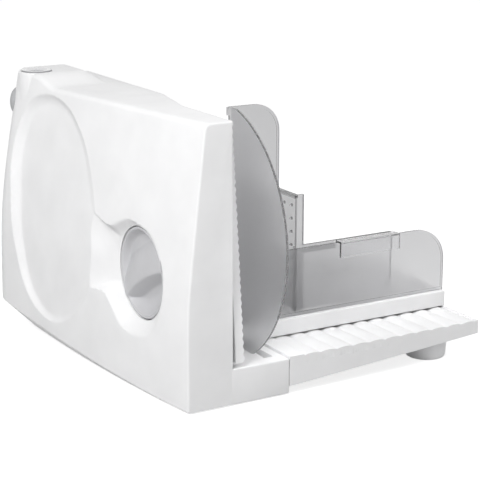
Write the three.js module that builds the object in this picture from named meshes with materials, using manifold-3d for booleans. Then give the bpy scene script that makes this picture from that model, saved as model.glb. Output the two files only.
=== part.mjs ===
// Household food slicer. Millimetres, X to the right, Y away from the user, Z up.
// The pieces are drawn with the table at Z = 0, the user's end of the body at Y = 0
// and the blade side of the body at X = 0. The finished group is centred on its base.
import * as THREE from "three";
import { mergeVertices } from "three/addons/utils/BufferGeometryUtils.js";
import Module from "manifold-3d";

const wasm = await Module();
wasm.setup();

// Fits and walls
const GAP = 0.3;
const RUNNING_GAP = 0.3;
const WALL = 2.5;

// Body
const BODY_DEPTH = 258;
const BODY_TOP = 201;
const BODY_FLOOR = 2.2;
const NEAR_THICK_LOW = 36;
const NEAR_THICK_TOP = 21;
const FAR_THICK_LOW = 78;
const FAR_THICK_TOP = 58;
const NEAR_KNEE = 75;
const FAR_KNEE = 105;
const TOP_EDGE = 4;
const FAR_ROUND = 24;
const NEAR_TUCK = 1;
const FAR_TUCK = 28;
const TUCK_CURVE = 1.7;
const PLATFORM_RISE = 7;
const PLATFORM_LENGTH = 72;
const PLATFORM_RAMP = 32;
const PLATFORM_SIDE = 9;
const COVER_THICK = 4;
const COVER_SCREW_R = 1.6;
const COVER_SCREW_HEAD_R = 3.4;
const COVER_SCREW_LENGTH = 14;
const SCREW_INSET = 12;
const SCREW_TO_BLADE = 62;
const HEAD_HEIGHT = 1.9;
const SCREW_TIP = 3;

// Dish and knob recess in the outer face
const DISH_INSET = 86;
const DISH_Z = 112;
const DISH_SAG = 2;
const DISH_NEAR_WALL = 0.6;
const DISH_FAR_WALL = 6.5;
const DISH_FLOOR = 0.92;
const DISH_RINGS = [0.3, 0.65];
const DISH_RIM = [
  [22, 83], [-5, 79], [-27, 63], [-47, 34], [-58, 4], [-61, -25], [-49, -55], [-33, -75],
  [-16, -84], [3, -87], [26, -76], [47, -40], [56, -2], [60, 28], [57, 55], [45, 75],
];
const KNOB_CLEARANCE = 11;
const KNOB_Z = 86;
const KNOB_R = 33;
const KNOB_RIM = 2;
const KNOB_FLOOR = 3;
const WING_TILT = -30;
const WING_PROUD = 2.5;
const WING_CREST = -5;
const WING_STEEP_FOOT = -13;
const WING_GENTLE_FOOT = 19;
const KNOB_FACE = 38;
const WELL_DEPTH = 12.5;
const WELL_GAP = 0.8;
const SCOOP_EDGE = [
  [-3, 35.5], [-18, 31], [-30, 18], [-35, 0], [-31, -22], [-23, -36], [-12, -42.5], [-1.5, -44], [7, -43],
  [14, -41], [22, -33], [31, -23], [38, -20], [45.5, -20.5], [52, -20.5], [54, 4], [54, 34], [42, 30.5],
  [31.5, 29], [21.5, 33.5], [12.5, 37.5], [5.5, 37.5],
];

// Base step and tray
const TRAY_LEVEL = 28.5;
const RIB_DEPTH = 2;
const RIB_PITCH = 14.1;
const STEP_WIDTH = 46;
const STEP_TOP = 27;
const TRAY_WIDTH = 169;
const TRAY_DEPTH = 240;
const TRAY_LIFT_LEFT = 6;
const TRAY_LIFT_RIGHT = 17.7;
const GROOVE_X = 31;
const GROOVE_WIDTH = 7;
const GROOVE_DEPTH = 8.5;
const GROOVE_START = 10;
const TRAY_SCREW_Z = 15;
const TRAY_SCREW_R = 2;
const TRAY_SCREW_HEAD_R = 4;

// Blade and its drive
const BLADE_R = 85;
const BLADE_INSET = 98;
const BLADE_Z = 110;
const BLADE_THICK = 1.6;
const BLADE_PLANE = 22;
const SLOT_CLEARANCE = 7.7;
const HOOD_CLEARANCE = 2.5;
const HOOD_REACH = 15;
const HOOD_LENGTH = 70;
const HOOD_RAMP = 70;
const HOOD_CORNER = 6;
const SHAFT_R = 5;
const BUSH_R = 9;
const BOSS_R = 16;
const BOSS_REACH = 13;
const CARRIER_R = 24;
const GEAR_MODULE = 2;
const TOOTH_TIP = 0.85;
const TOOTH_ROOT = 1.2;
const BLADE_TEETH = 48;
const PINION_TEETH = 12;
const WHEEL_TEETH = 15;
const WORM_STARTS = 2;
const WORM_R = 8;
const GEAR_WIDTH = 6;
const WHEEL_WIDTH = 9;
const IDLER_PIN_R = 3;
const FRAME_THICK = 2.5;
const MOTOR_R = 16.5;
const MOTOR_LENGTH = 56;
const MOTOR_X = -31.2;
const MOTOR_GAP = 26;
const MOTOR_CAP = 6;
const BRACKET_FLANGE = 22;
const MOTOR_SHAFT_R = 3;
const IDLER_HUB_R = 6;
const POST_R = 4.5;
const POST_CLEARANCE = 2.3;
const POST_DROP = 6;
const FRAME_EDGE = 9;
const FRAME_SCREW_R = 1.2;
const FRAME_SCREW_HEAD_R = 3;
const BLADE_SCREW_R = 2.4;
const BLADE_SCREW_HEAD_R = 10;
const BLADE_SCREW_LENGTH = 12;

// Stop plate
const STOP_FACE = 9.5;
const STOP_THICK = 6.5;
const STOP_RIB = 1.2;
const STOP_RIB_PITCH = 5.6;
const STOP_BOTTOM = 30.5;
const STOP_TOP = 197;
const STOP_LEAN = 16;
const STOP_CLEARANCE = 3;
const STOP_LAP = 14;
const STOP_TRAVEL_OPEN = 2.5;
const STOP_TRAVEL_CLOSE = 12;
const ROD_R = 4;
const ROD_Y = 24;
const ROD_LOW_Z = 56;
const ROD_HIGH_Z = 150;
const SCREW_R = 6;
const SCREW_LEAD = 17.4;
const NECK_R = 4;
const NECK_LENGTH = 6;

// Carriage
const TABLE_LEFT = 26.8;
const TABLE_RIGHT = 214.5;
const TABLE_FRONT = 41;
const TABLE_LENGTH = 124;
const TABLE_TOP = 41;
const TABLE_SKIN = 4;
const SLOT_DEPTH = 2;
const GUARD_THICK = 2.5;
const GUARD_PLANE = 24;
const GUARD_R = 95;
const GUARD_OFFSET = 20;
const GUARD_RISE = 2.5;
const WALL_Y = 46;
const WALL_TOP = 91.8;
const WALL_RIGHT = 215.5;
const WALL_CORNER = 26;
const THUMB_TOP = 201.5;
const THUMB_RIGHT = 64.5;
const THUMB_CORNER = 20;
const THUMB_LIP = 1.7;
const THUMB_LIP_HEIGHT = 6;
const RUNNER_LENGTH = 54;

// Pusher
const PUSHER_X = 81;
const PUSHER_TOP = 131;
const PUSHER_DEPTH = 90;
const PUSHER_THICK = 2.4;
const PUSHER_FLANGE = 9;
const ARM_LENGTH = 87;
const CLIP_LEFT = 117;
const CLIP_RIGHT = 170;
const CLIP_DROP = 11;
const CLIP_GAP = 0.4;
const PIP_R = 1.2;
const PIP_HEIGHT = 2.2;
const PIP_PITCH = 10;

// Buttons and feet
const BUTTON_R = 11.5;
const BUTTON_X = -42;
const BUTTON_INSET = 27;
const BUTTON_PROUD = 1.4;
const SAFETY_R = 11.5;
const SAFETY_Z = 182.5;
const SAFETY_PROUD = 4;
const SAFETY_TURN = 45;
const SAFETY_SPRING = 8.5;
const SHELF_THICK = 3;
const BUTTON_GAP = 0.4;
const BUTTON_FLANGE = 2.2;
const BUTTON_LEDGE = 0.6;
const BUTTON_WALL = 1.8;
const BUTTON_DROP = 38;
const BUTTON_TRAVEL = 3;
const BUTTON_STEM_R = 3;
const SPRING_R = 5;
const SPRING_WIRE = 1;
const SWITCH_TOP = 193;
const SWITCH_LEFT = 8.5;
const SWITCH_RIGHT = 15;
const SWITCH_NEAR = 9;
const SWITCH_FAR = 10;
const SWITCH_PAD = 1.4;
const TRAY_FOOT_R = 16;
const TRAY_FOOT_SEAT = 16;
const TRAY_FOOT_SIDE = 33;
const TRAY_FOOT_INSET = 22;
const TRAY_PEG_R = 5;
const TRAY_PEG_LENGTH = 6.5;
const BODY_FOOT_R = 8;
const FOOT_NEAR_LEFT = -26;
const FOOT_FAR_LEFT = -36;
const FOOT_RIGHT = 30;
const FOOT_NEAR = 12;
const FOOT_FAR = 26;
const BODY_PEG_R = 3;
const GLAND_X = -30;
const GLAND_Z = 30;
const GLAND_R = 5;
const GLAND_REACH = 7;
const CORD_R = 3.4;

// Finishes
const finish = (color, roughness, metalness = 0, opacity = 1) =>
  new THREE.MeshStandardMaterial({ color, roughness, metalness, opacity, transparent: opacity < 1 });
const whitePlastic = () => finish(0xf1f1f2, 0.35);
const silverPlastic = () => finish(0xb4b5ba, 0.4, 0.3);
const greyPlastic = () => finish(0x8b8c90, 0.5);
const smokyPlastic = () => finish(0x9a9ca0, 0.12, 0, 0.55);
const blackRubber = () => finish(0x242426, 0.8);
const nylon = () => finish(0xe7e3d6, 0.5);
const steel = () => finish(0xc4c6ca, 0.28, 1);
const brass = () => finish(0xb58d4a, 0.35, 1);

const ROUND = 16;
const SMALL_ROUND = 8;

// Solids: three.js geometry in, manifold solid out, and back
function solid(geometry) {
  const bare = geometry.clone();
  bare.deleteAttribute("normal");
  bare.deleteAttribute("uv");
  const merged = mergeVertices(bare, 1e-4);
  const position = merged.attributes.position;
  const tri = Array.from(merged.index.array);
  const kept = [];
  let volume = 0;
  const [a, b, c] = [new THREE.Vector3(), new THREE.Vector3(), new THREE.Vector3()];
  for (let i = 0; i < tri.length; i += 3) {
    if (tri[i] === tri[i + 1] || tri[i + 1] === tri[i + 2] || tri[i] === tri[i + 2]) continue;
    kept.push(tri[i], tri[i + 1], tri[i + 2]);
    a.fromBufferAttribute(position, tri[i]);
    b.fromBufferAttribute(position, tri[i + 1]);
    c.fromBufferAttribute(position, tri[i + 2]);
    volume += a.dot(b.cross(c));
  }
  if (volume < 0) kept.reverse();
  const vertProperties = new Float32Array(position.array);
  return new wasm.Manifold(new wasm.Mesh({ numProp: 3, vertProperties, triVerts: new Uint32Array(kept) }));
}

function geometryOf(manifold) {
  const mesh = manifold.getMesh();
  const geometry = new THREE.BufferGeometry();
  geometry.setAttribute("position", new THREE.BufferAttribute(new Float32Array(mesh.vertProperties), 3));
  geometry.setIndex(new THREE.BufferAttribute(new Uint32Array(mesh.triVerts), 1));
  return geometry;
}

const join = (first, ...rest) => rest.reduce((sum, piece) => sum.add(piece), first);
const cut = (first, ...rest) => rest.reduce((left, tool) => left.subtract(tool), first);

// A block between two corners
function block(x0, x1, y0, y1, z0, z1) {
  const geometry = new THREE.BoxGeometry(x1 - x0, y1 - y0, z1 - z0);
  geometry.translate((x0 + x1) / 2, (y0 + y1) / 2, (z0 + z1) / 2);
  return solid(geometry);
}

// Turned pieces: a closed profile of [radius, height] pairs about an axis through (u, v)
function turned(profile, axis, u, v, sides = ROUND) {
  const points = profile.map(([r, h]) => new THREE.Vector2(r, h));
  const geometry = new THREE.LatheGeometry(points, sides);
  if (axis === "X") geometry.applyMatrix4(basis([0, 1, 0], [1, 0, 0], [0, 0, -1])).translate(0, u, v);
  if (axis === "Y") geometry.translate(u, 0, v);
  if (axis === "Z") geometry.rotateX(Math.PI / 2).translate(u, v, 0);
  return solid(geometry);
}

function basis(x, y, z) {
  return new THREE.Matrix4().makeBasis(
    new THREE.Vector3(...x),
    new THREE.Vector3(...y),
    new THREE.Vector3(...z),
  );
}

const rod = (axis, r, h0, h1, u, v, sides = ROUND) =>
  turned([[0, h0], [r, h0], [r, h1], [0, h1]], axis, u, v, sides);

const tube = (axis, rIn, rOut, h0, h1, u, v, sides = ROUND) =>
  turned([[rIn, h0], [rOut, h0], [rOut, h1], [rIn, h1], [rIn, h0]], axis, u, v, sides);

// Plates: an outline of [a, b] points, or a Shape, given thickness along one axis
function shapeOf(outline) {
  if (!Array.isArray(outline)) return outline;
  return new THREE.Shape(outline.map(([a, b]) => new THREE.Vector2(a, b)));
}

function extruded(outline, depth, curveSegments) {
  return new THREE.ExtrudeGeometry(shapeOf(outline), { depth, bevelEnabled: false, curveSegments, steps: 1 });
}

// Outline in Y and Z, thickness along X
function plateX(outline, x0, x1, curveSegments = 12) {
  const geometry = extruded(outline, x1 - x0, curveSegments);
  return solid(geometry.applyMatrix4(basis([0, 1, 0], [0, 0, 1], [1, 0, 0])).translate(x0, 0, 0));
}

// Outline in X and Z, thickness along Y
function plateY(outline, y0, y1, curveSegments = 12) {
  const geometry = extruded(outline, y1 - y0, curveSegments);
  return solid(geometry.applyMatrix4(basis([1, 0, 0], [0, 0, 1], [0, -1, 0])).translate(0, y1, 0));
}

// Outline in X and Y, thickness along Z
function plateZ(outline, z0, z1, curveSegments = 12) {
  return solid(extruded(outline, z1 - z0, curveSegments).translate(0, 0, z0));
}

// A skin through closed sections of equal length, each a list of Vector3, with flat ends
function loft(sections) {
  const count = sections[0].length;
  const positions = sections.flat().flatMap((p) => [p.x, p.y, p.z]);
  const index = [];
  for (let s = 0; s + 1 < sections.length; s += 1) {
    for (let i = 0; i < count; i += 1) {
      const j = (i + 1) % count;
      const [a, b] = [s * count + i, s * count + j];
      const [c, d] = [a + count, b + count];
      index.push(a, b, d, a, d, c);
    }
  }
  const flat = sections[0].map((p) => new THREE.Vector2(p.x, p.z));
  const last = sections.at(-1).map((p) => new THREE.Vector2(p.x, p.z));
  const lastStart = (sections.length - 1) * count;
  for (const [i, j, k] of THREE.ShapeUtils.triangulateShape(flat, [])) index.push(i, k, j);
  for (const [i, j, k] of THREE.ShapeUtils.triangulateShape(last, [])) {
    index.push(lastStart + i, lastStart + j, lastStart + k);
  }
  const geometry = new THREE.BufferGeometry();
  geometry.setAttribute("position", new THREE.Float32BufferAttribute(positions, 3));
  geometry.setIndex(index);
  return solid(geometry);
}

const lerp = THREE.MathUtils.lerp;
const smooth = THREE.MathUtils.smoothstep;

// Gear outline with flat-sided teeth, centred on a point; phase is in tooth pitches
function gearOutline(teeth, module, y, z, phase) {
  const pitchR = (teeth * module) / 2;
  const rootR = pitchR - TOOTH_ROOT * module;
  const tipR = pitchR + TOOTH_TIP * module;
  const flanks = [[rootR, -0.33], [tipR, -0.11], [tipR, 0.11], [rootR, 0.33]];
  const outline = [];
  for (let tooth = 0; tooth < teeth; tooth += 1) {
    for (const [r, part] of flanks) {
      const angle = (2 * Math.PI * (tooth + part + phase)) / teeth;
      outline.push([y + r * Math.cos(angle), z + r * Math.sin(angle)]);
    }
  }
  return outline;
}

// A threaded rod: the radius swells along helices round the axis
function threadedRod({ rRoot, rTip, length, lead, starts, land, rings, sides }) {
  const positions = [];
  const index = [];
  for (let ring = 0; ring <= rings; ring += 1) {
    const h = (length * ring) / rings;
    const ends = ring === 0 || ring === rings;
    for (let side = 0; side < sides; side += 1) {
      const turn = side / sides;
      const phase = starts * (h / lead - turn);
      const away = Math.abs(phase - Math.round(phase));
      const rise = 1 - smooth(away, land, land + 0.16);
      const r = ends ? rRoot : lerp(rRoot, rTip, rise);
      positions.push(r * Math.cos(2 * Math.PI * turn), r * Math.sin(2 * Math.PI * turn), h);
    }
  }
  positions.push(0, 0, 0, 0, 0, length);
  const [foot, head] = [(rings + 1) * sides, (rings + 1) * sides + 1];
  for (let side = 0; side < sides; side += 1) {
    const next = (side + 1) % sides;
    for (let ring = 0; ring < rings; ring += 1) {
      const [a, b] = [ring * sides + side, ring * sides + next];
      index.push(a, b, b + sides, a, b + sides, a + sides);
    }
    index.push(foot, next, side, head, rings * sides + side, rings * sides + next);
  }
  const geometry = new THREE.BufferGeometry();
  geometry.setAttribute("position", new THREE.Float32BufferAttribute(positions, 3));
  geometry.setIndex(index);
  return geometry;
}

// Values that several pieces share
const bladeY = BODY_DEPTH - BLADE_INSET;
const knobY = bladeY - BLADE_R - KNOB_CLEARANCE;
const stopReach = BLADE_R + STOP_CLEARANCE;
const stopRear = bladeY - stopReach + STOP_LAP;
const slotChord = Math.sqrt(Math.max(0, BLADE_R ** 2 - (BLADE_Z - STEP_TOP) ** 2));
const slotHalf = slotChord + SLOT_CLEARANCE;
const buttonY = BODY_DEPTH - BUTTON_INSET;
const dishY = BODY_DEPTH - DISH_INSET;
const platformStart = BODY_DEPTH - PLATFORM_LENGTH;
const platformFull = platformStart + PLATFORM_RAMP;
const hoodStart = bladeY - HOOD_LENGTH;
const hoodFull = hoodStart + HOOD_RAMP;
const stepRight = STEP_WIDTH - GAP / 2;
const trayLeft = STEP_WIDTH + GAP / 2;
const trayRight = STEP_WIDTH + TRAY_WIDTH;
const coverBack = -COVER_THICK;
const coverScrewUnder = -HEAD_HEIGHT - GAP;
const coverScrewTip = coverScrewUnder - COVER_SCREW_LENGTH;
const gearX1 = coverBack - 0.6;
const gearX0 = gearX1 - GEAR_WIDTH;
const frameX1 = gearX0 - 0.8;
const frameX0 = frameX1 - FRAME_THICK;
const idlerY = bladeY;
const idlerZ = BLADE_Z - ((BLADE_TEETH + PINION_TEETH) * GEAR_MODULE) / 2;
const wheelR = (WHEEL_TEETH * GEAR_MODULE) / 2;
const wormZ = idlerZ + wheelR + WORM_R;
const motorY0 = bladeY + MOTOR_GAP;
const motorY1 = motorY0 + MOTOR_LENGTH;
const wellFloor = WELL_DEPTH - KNOB_FACE;
const wellR = KNOB_R + WELL_GAP;
const neckStart = wellFloor - NECK_LENGTH;
const stopBack = STOP_FACE - STOP_THICK;
const platformTop = BODY_TOP + PLATFORM_RISE;
const bladeBack = BLADE_PLANE - BLADE_THICK;
const guardBack = WALL_Y + GUARD_THICK;
const guardCentreY = WALL_Y + GUARD_OFFSET;
const tableUnder = TRAY_LEVEL + GAP;
const gearTip = (BLADE_TEETH / 2 + TOOTH_TIP) * GEAR_MODULE;
const postReach = gearTip + POST_R + POST_CLEARANCE;
const postSide = postReach * Math.cos(Math.PI / 6);
const postRise = postReach * Math.sin(Math.PI / 6);
const lowPostSide = wheelR + 2 * POST_R;
const framePosts = [
  [bladeY + postSide, BLADE_Z + postRise],
  [bladeY - postSide, BLADE_Z + postRise],
  [idlerY + lowPostSide, idlerZ - POST_DROP],
  [idlerY - lowPostSide, idlerZ - POST_DROP],
];
const coverScrews = [
  [bladeY - SCREW_TO_BLADE, BODY_TOP - SCREW_INSET],
  [bladeY - SCREW_TO_BLADE, STEP_TOP + WALL + SCREW_INSET],
  [BODY_DEPTH - SCREW_INSET, STEP_TOP + WALL + SCREW_INSET],
  [SCREW_INSET, BODY_TOP - 2 * SCREW_INSET],
];
const rods = [[ROD_Y, ROD_LOW_Z], [ROD_Y, ROD_HIGH_Z]];
const trayScrewRows = [0.18, 0.5, 0.82].map((share) => share * TRAY_DEPTH);
const feetOnTray = [
  [trayRight - TRAY_FOOT_SIDE, TRAY_FOOT_INSET],
  [trayRight - TRAY_FOOT_SIDE, TRAY_DEPTH - TRAY_FOOT_INSET],
];
const bodyFeet = [
  [FOOT_NEAR_LEFT, FOOT_NEAR],
  [FOOT_FAR_LEFT, BODY_DEPTH - FOOT_FAR],
  [FOOT_RIGHT, FOOT_NEAR],
  [FOOT_RIGHT, BODY_DEPTH - FOOT_FAR],
];
const shelfTop = SAFETY_Z - SAFETY_R - 3;
const onUnder = platformTop - WALL - BUTTON_FLANGE - GAP;
const safetyFlangeR = SAFETY_R + 1.6;
const safetyUnder = Math.sqrt((FAR_ROUND - WALL) ** 2 - safetyFlangeR ** 2) - BUTTON_FLANGE - 2 * GAP;
const safetySeat = safetyUnder - SAFETY_SPRING;
const cornerY = BODY_DEPTH - FAR_ROUND;
const cornerX = FAR_ROUND + leftFace(cornerY, SAFETY_Z);
const switchLeft = BUTTON_X - SWITCH_LEFT;
const switchRight = BUTTON_X + SWITCH_RIGHT;
const switchNear = buttonY - SWITCH_NEAR;
const switchFar = cornerY + SWITCH_FAR;
const buttonSeatR = BUTTON_R + BUTTON_LEDGE + GAP;

// X of the outer face of the body, ahead of the rounded far corner
function leftFace(y, z) {
  const low = lerp(NEAR_THICK_LOW, FAR_THICK_LOW, y / BODY_DEPTH);
  const top = lerp(NEAR_THICK_TOP, FAR_THICK_TOP, y / BODY_DEPTH);
  const knee = lerp(NEAR_KNEE, FAR_KNEE, y / BODY_DEPTH);
  return -lerp(low, top, Math.max(0, z - knee) / (BODY_TOP - knee));
}

// A piece drawn along Y from the middle of the rounded far corner is turned to face out of it
function toCorner(geometry) {
  return geometry.rotateZ(THREE.MathUtils.degToRad(SAFETY_TURN)).translate(cornerX, cornerY, SAFETY_Z);
}

function facingCorner(profile) {
  const points = profile.map(([r, h]) => new THREE.Vector2(r, h));
  return solid(toCorner(new THREE.LatheGeometry(points, ROUND)));
}

// Cross-section of the body at one depth, pulled in by a wall thickness
function bodySection(y, inset, right, bottom) {
  const share = y / BODY_DEPTH;
  const round = FAR_ROUND - inset;
  const past = Math.max(0, y - (BODY_DEPTH - FAR_ROUND)) / round;
  const tuckIn = round * (1 - Math.sqrt(Math.max(0, 1 - past * past)));
  const low = inset + tuckIn - lerp(NEAR_THICK_LOW, FAR_THICK_LOW, share);
  const top = inset + tuckIn - lerp(NEAR_THICK_TOP, FAR_THICK_TOP, share);
  const rise = PLATFORM_RISE * smooth(y, platformStart, platformFull);
  const tuck = lerp(NEAR_TUCK, FAR_TUCK, share ** TUCK_CURVE);
  const high = BODY_TOP + rise - inset;
  const outline = [
    [right, bottom],
    [right, BODY_TOP - inset],
    [Math.min(-0.5, -PLATFORM_SIDE + PLATFORM_SIDE * 0.5 * (1 - rise / PLATFORM_RISE)), high],
    [Math.min(top + TOP_EDGE, -PLATFORM_SIDE - 1), high],
    [top, high - TOP_EDGE],
    [low, lerp(NEAR_KNEE, FAR_KNEE, share)],
    [low, Math.max(BODY_FLOOR + tuck, bottom + 1)],
    [low + tuck, Math.min(BODY_FLOOR, bottom)],
  ];
  if (bottom > BODY_FLOOR) outline[7] = [low, bottom];
  return outline.map(([x, z]) => new THREE.Vector3(x, y, z));
}

function bodyStations(start, end) {
  const round = end - (BODY_DEPTH - FAR_ROUND);
  const inner = [1 / 3, 2 / 3, 1].map((share) => lerp(start, platformStart, share));
  const raised = [0.35, 0.65, 1].map((share) => lerp(platformStart, platformFull, share));
  const turn = [0, 0.35, 0.65, 0.86, 0.97, 1].map((share) => end - round + round * share);
  return [...new Set([start, ...inner, ...raised, ...turn])].sort((a, b) => a - b);
}

// Tool for the shallow dish: rings that sink into the leaning face towards the middle
function dishTool(shift) {
  const reach = Math.max(...DISH_RIM.map(([y]) => y));
  const ring = (share) => DISH_RIM.map(([y, z]) => {
    const [along, height] = [dishY + y * share, DISH_Z + z * share];
    const wall = lerp(DISH_NEAR_WALL, DISH_FAR_WALL, (1 + (y * share) / reach) / 2);
    const depth = share < 1 ? Math.max(0, wall) + DISH_SAG * (1 - share * share) : -GAP;
    return new THREE.Vector3(along, shift + leftFace(along, height) + depth, height);
  });
  const outside = DISH_RIM.map(([y, z]) => new THREE.Vector3(dishY + y, -2 * FAR_THICK_LOW, DISH_Z + z));
  return stackedAlongX([...[...DISH_RINGS, DISH_FLOOR, 1].map(ring), outside]);
}

// Tool for the recess beside the knob: it opens from the knob's rim to a waved edge on the outer face
function scoopTool(grow) {
  const edge = SCOOP_EDGE.map(([y, z]) => {
    const share = 1 + grow / Math.hypot(y, z);
    return [knobY + y * share, KNOB_Z + z * share];
  });
  const rim = SCOOP_EDGE.map(([y, z]) => {
    const share = (wellR + grow) / Math.hypot(y, z);
    return [knobY + y * share, KNOB_Z + z * share];
  });
  const sections = [
    rim.map(([y, z]) => new THREE.Vector3(y, grow - KNOB_FACE, z)),
    edge.map(([y, z]) => new THREE.Vector3(y, grow + leftFace(y, z) - GAP, z)),
    edge.map(([y, z]) => new THREE.Vector3(y, -2 * FAR_THICK_LOW, z)),
  ];
  return stackedAlongX(sections);
}

// Outline of the blade hood: the far corner round the blade, open where slices drop
function hoodSolid() {
  const inner = BLADE_R + HOOD_CLEARANCE;
  const side = [
    [hoodStart, STEP_TOP - 1],
    [BODY_DEPTH, STEP_TOP - 1],
    [BODY_DEPTH, BODY_TOP],
    [hoodStart, BODY_TOP],
  ];
  const plan = [
    [-1, hoodStart - 3],
    [0, hoodStart],
    [HOOD_REACH, hoodFull],
    [HOOD_REACH, BODY_DEPTH - HOOD_CORNER],
    [HOOD_REACH - HOOD_CORNER, BODY_DEPTH],
    [-1, BODY_DEPTH],
  ];
  const wide = plateX(side, -1, HOOD_REACH + 1);
  const mouth = join(
    rod("X", inner, -2, HOOD_REACH + 2, bladeY, BLADE_Z, 48),
    block(-2, HOOD_REACH + 2, 0, bladeY, 0, BLADE_Z),
    block(-2, HOOD_REACH + 2, 0, bladeY + inner * 0.7, 0, BLADE_Z - inner * 0.7),
  );
  return cut(wide.intersect(plateZ(plan, 0, BODY_TOP + 1)), mouth);
}

function housingShell() {
  const stations = bodyStations(0, BODY_DEPTH);
  const outer = loft(stations.map((y) => bodySection(y, 0, 0, BODY_FLOOR)));
  const buttonBoss = rod(
    "Z", buttonSeatR + BUTTON_WALL, platformTop - BUTTON_DROP, platformTop, BUTTON_X, buttonY, 32,
  );
  const inner = bodyStations(WALL, BODY_DEPTH - WALL);
  const lowHollow = loft(inner.map((y) => bodySection(y, WALL, -WALL, BODY_FLOOR - 1)));
  const highHollow = loft(inner.map((y) => bodySection(y, WALL, 1, STEP_TOP + WALL)));
  const step = block(-WALL, stepRight, 0, BODY_DEPTH, BODY_FLOOR, STEP_TOP);
  const stepHollow = block(0, stepRight - WALL, WALL, BODY_DEPTH - WALL, 0, STEP_TOP - WALL);
  const coverSeat = block(
    coverBack - 1, GAP, WALL, BODY_DEPTH - WALL, STEP_TOP + WALL, BODY_TOP - WALL,
  );
  const wellTube = rod("X", wellR + WALL, -FAR_THICK_LOW, wellFloor + WALL, knobY, KNOB_Z, 36);
  const well = rod("X", wellR, -FAR_THICK_LOW, wellFloor, knobY, KNOB_Z, 36);
  const spindleHole = rod("X", SCREW_R + RUNNING_GAP, -KNOB_FACE, coverBack - 8, knobY, KNOB_Z);
  const screwBosses = coverScrews.map(([y, z]) =>
    rod("X", POST_R, -FAR_THICK_LOW, coverBack - GAP, y, z, SMALL_ROUND));
  const screwHoles = coverScrews.map(([y, z]) =>
    rod("X", COVER_SCREW_R + GAP, coverScrewTip - 2, coverBack, y, z, SMALL_ROUND));
  const shelf = block(
    -FAR_THICK_LOW, switchRight, switchNear - 2, switchFar, shelfTop - SHELF_THICK, shelfTop,
  );
  const standing = join(dishTool(WALL), scoopTool(WALL), wellTube, shelf, ...screwBosses);
  const hollow = cut(join(lowHollow, highHollow), standing);
  const grooveBlock = block(
    GROOVE_X - WALL, GROOVE_X + GROOVE_WIDTH + WALL, WALL, BODY_DEPTH - WALL,
    STEP_TOP - GROOVE_DEPTH - WALL, STEP_TOP,
  );
  const groove = block(
    GROOVE_X, GROOVE_X + GROOVE_WIDTH, GROOVE_START, BODY_DEPTH - 2 * WALL,
    STEP_TOP - GROOVE_DEPTH, STEP_TOP + 1,
  );
  const bladeSlot = block(
    bladeBack - 2, BLADE_PLANE + 1.5, bladeY - slotHalf, bladeY + slotHalf,
    STEP_TOP - WALL - 1, STEP_TOP + 1,
  );
  const coverRebate = block(
    -WALL - 1, 1, WALL, BODY_DEPTH - WALL, 0, BODY_FLOOR + WALL + GAP,
  );
  const trayHoles = trayScrewRows.map((y) =>
    rod("X", TRAY_SCREW_R + GAP, stepRight - WALL - 1, stepRight + 1, y, TRAY_SCREW_Z, SMALL_ROUND));
  const buttonHole = rod(
    "Z", BUTTON_R + BUTTON_GAP, BODY_TOP - 2 * WALL, platformTop + 5, BUTTON_X, buttonY,
  );
  const buttonSeat = rod(
    "Z", buttonSeatR, onUnder - BUTTON_TRAVEL - GAP, platformTop - WALL, BUTTON_X, buttonY,
  );
  const [holeR, holeEnd] = [SAFETY_R + BUTTON_GAP, FAR_ROUND + 2 * SAFETY_PROUD];
  const safetyHole = facingCorner([[0, safetySeat], [holeR, safetySeat], [holeR, holeEnd], [0, holeEnd]]);
  const glandHole = rod(
    "Y", GLAND_R + GAP, BODY_DEPTH - WALL - 2, BODY_DEPTH + 2, GLAND_X, GLAND_Z, SMALL_ROUND,
  );
  let shell = cut(join(outer, buttonBoss), hollow);
  shell = join(shell, cut(step, stepHollow), grooveBlock, cut(hoodSolid(), coverSeat));
  shell = cut(shell, dishTool(0), scoopTool(0), well, spindleHole, groove, bladeSlot, coverRebate);
  return cut(shell, ...screwHoles, ...trayHoles, buttonHole, buttonSeat, safetyHole, glandHole);
}

function innerCover() {
  const edge = WALL + GAP;
  const plate = block(
    coverBack, 0, edge, BODY_DEPTH - edge, STEP_TOP + edge, BODY_TOP - edge,
  );
  const boss = rod("X", BOSS_R, coverBack, BOSS_REACH, bladeY, BLADE_Z);
  const posts = framePosts.map(([y, z]) =>
    rod("X", POST_R, frameX1 + GAP, coverBack + 1, y, z, SMALL_ROUND));
  const bushHole = rod("X", BUSH_R + GAP, coverBack - 1, BOSS_REACH + 1, bladeY, BLADE_Z);
  const rodHoles = rods.map(([y, z]) => rod("X", ROD_R + 2 + GAP, coverBack - 1, 1, y, z));
  const screwHoles = coverScrews.flatMap(([y, z]) => [
    rod("X", COVER_SCREW_R + GAP, coverBack - 1, 1, y, z, SMALL_ROUND),
    rod("X", COVER_SCREW_HEAD_R + GAP, coverScrewUnder - GAP, 1, y, z, SMALL_ROUND),
  ]);
  const postHoles = framePosts.map(([y, z]) =>
    rod("X", FRAME_SCREW_R + GAP, frameX1 - 1, coverBack, y, z, SMALL_ROUND));
  const pinHole = rod("X", IDLER_PIN_R + GAP, coverBack - 1, -1, idlerY, idlerZ);
  return cut(join(plate, boss, ...posts), bushHole, ...rodHoles, ...screwHoles, ...postHoles, pinHole);
}

function bottomCover() {
  const edge = WALL + GAP;
  const left = bodyStations(WALL, BODY_DEPTH - WALL).map((y) => {
    const corner = bodySection(y, WALL, -WALL, BODY_FLOOR - 1)[7];
    return [corner.x + 2 * GAP, THREE.MathUtils.clamp(y, edge, BODY_DEPTH - edge)];
  });
  const right = stepRight - edge;
  const outline = [[right, edge], [right, BODY_DEPTH - edge], ...left.reverse()];
  const plate = plateZ(outline, BODY_FLOOR, BODY_FLOOR + WALL);
  const holes = bodyFeet.map(([x, y]) => rod("Z", BODY_PEG_R + GAP, 0, 10, x, y, SMALL_ROUND));
  return cut(plate, ...holes);
}

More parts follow.
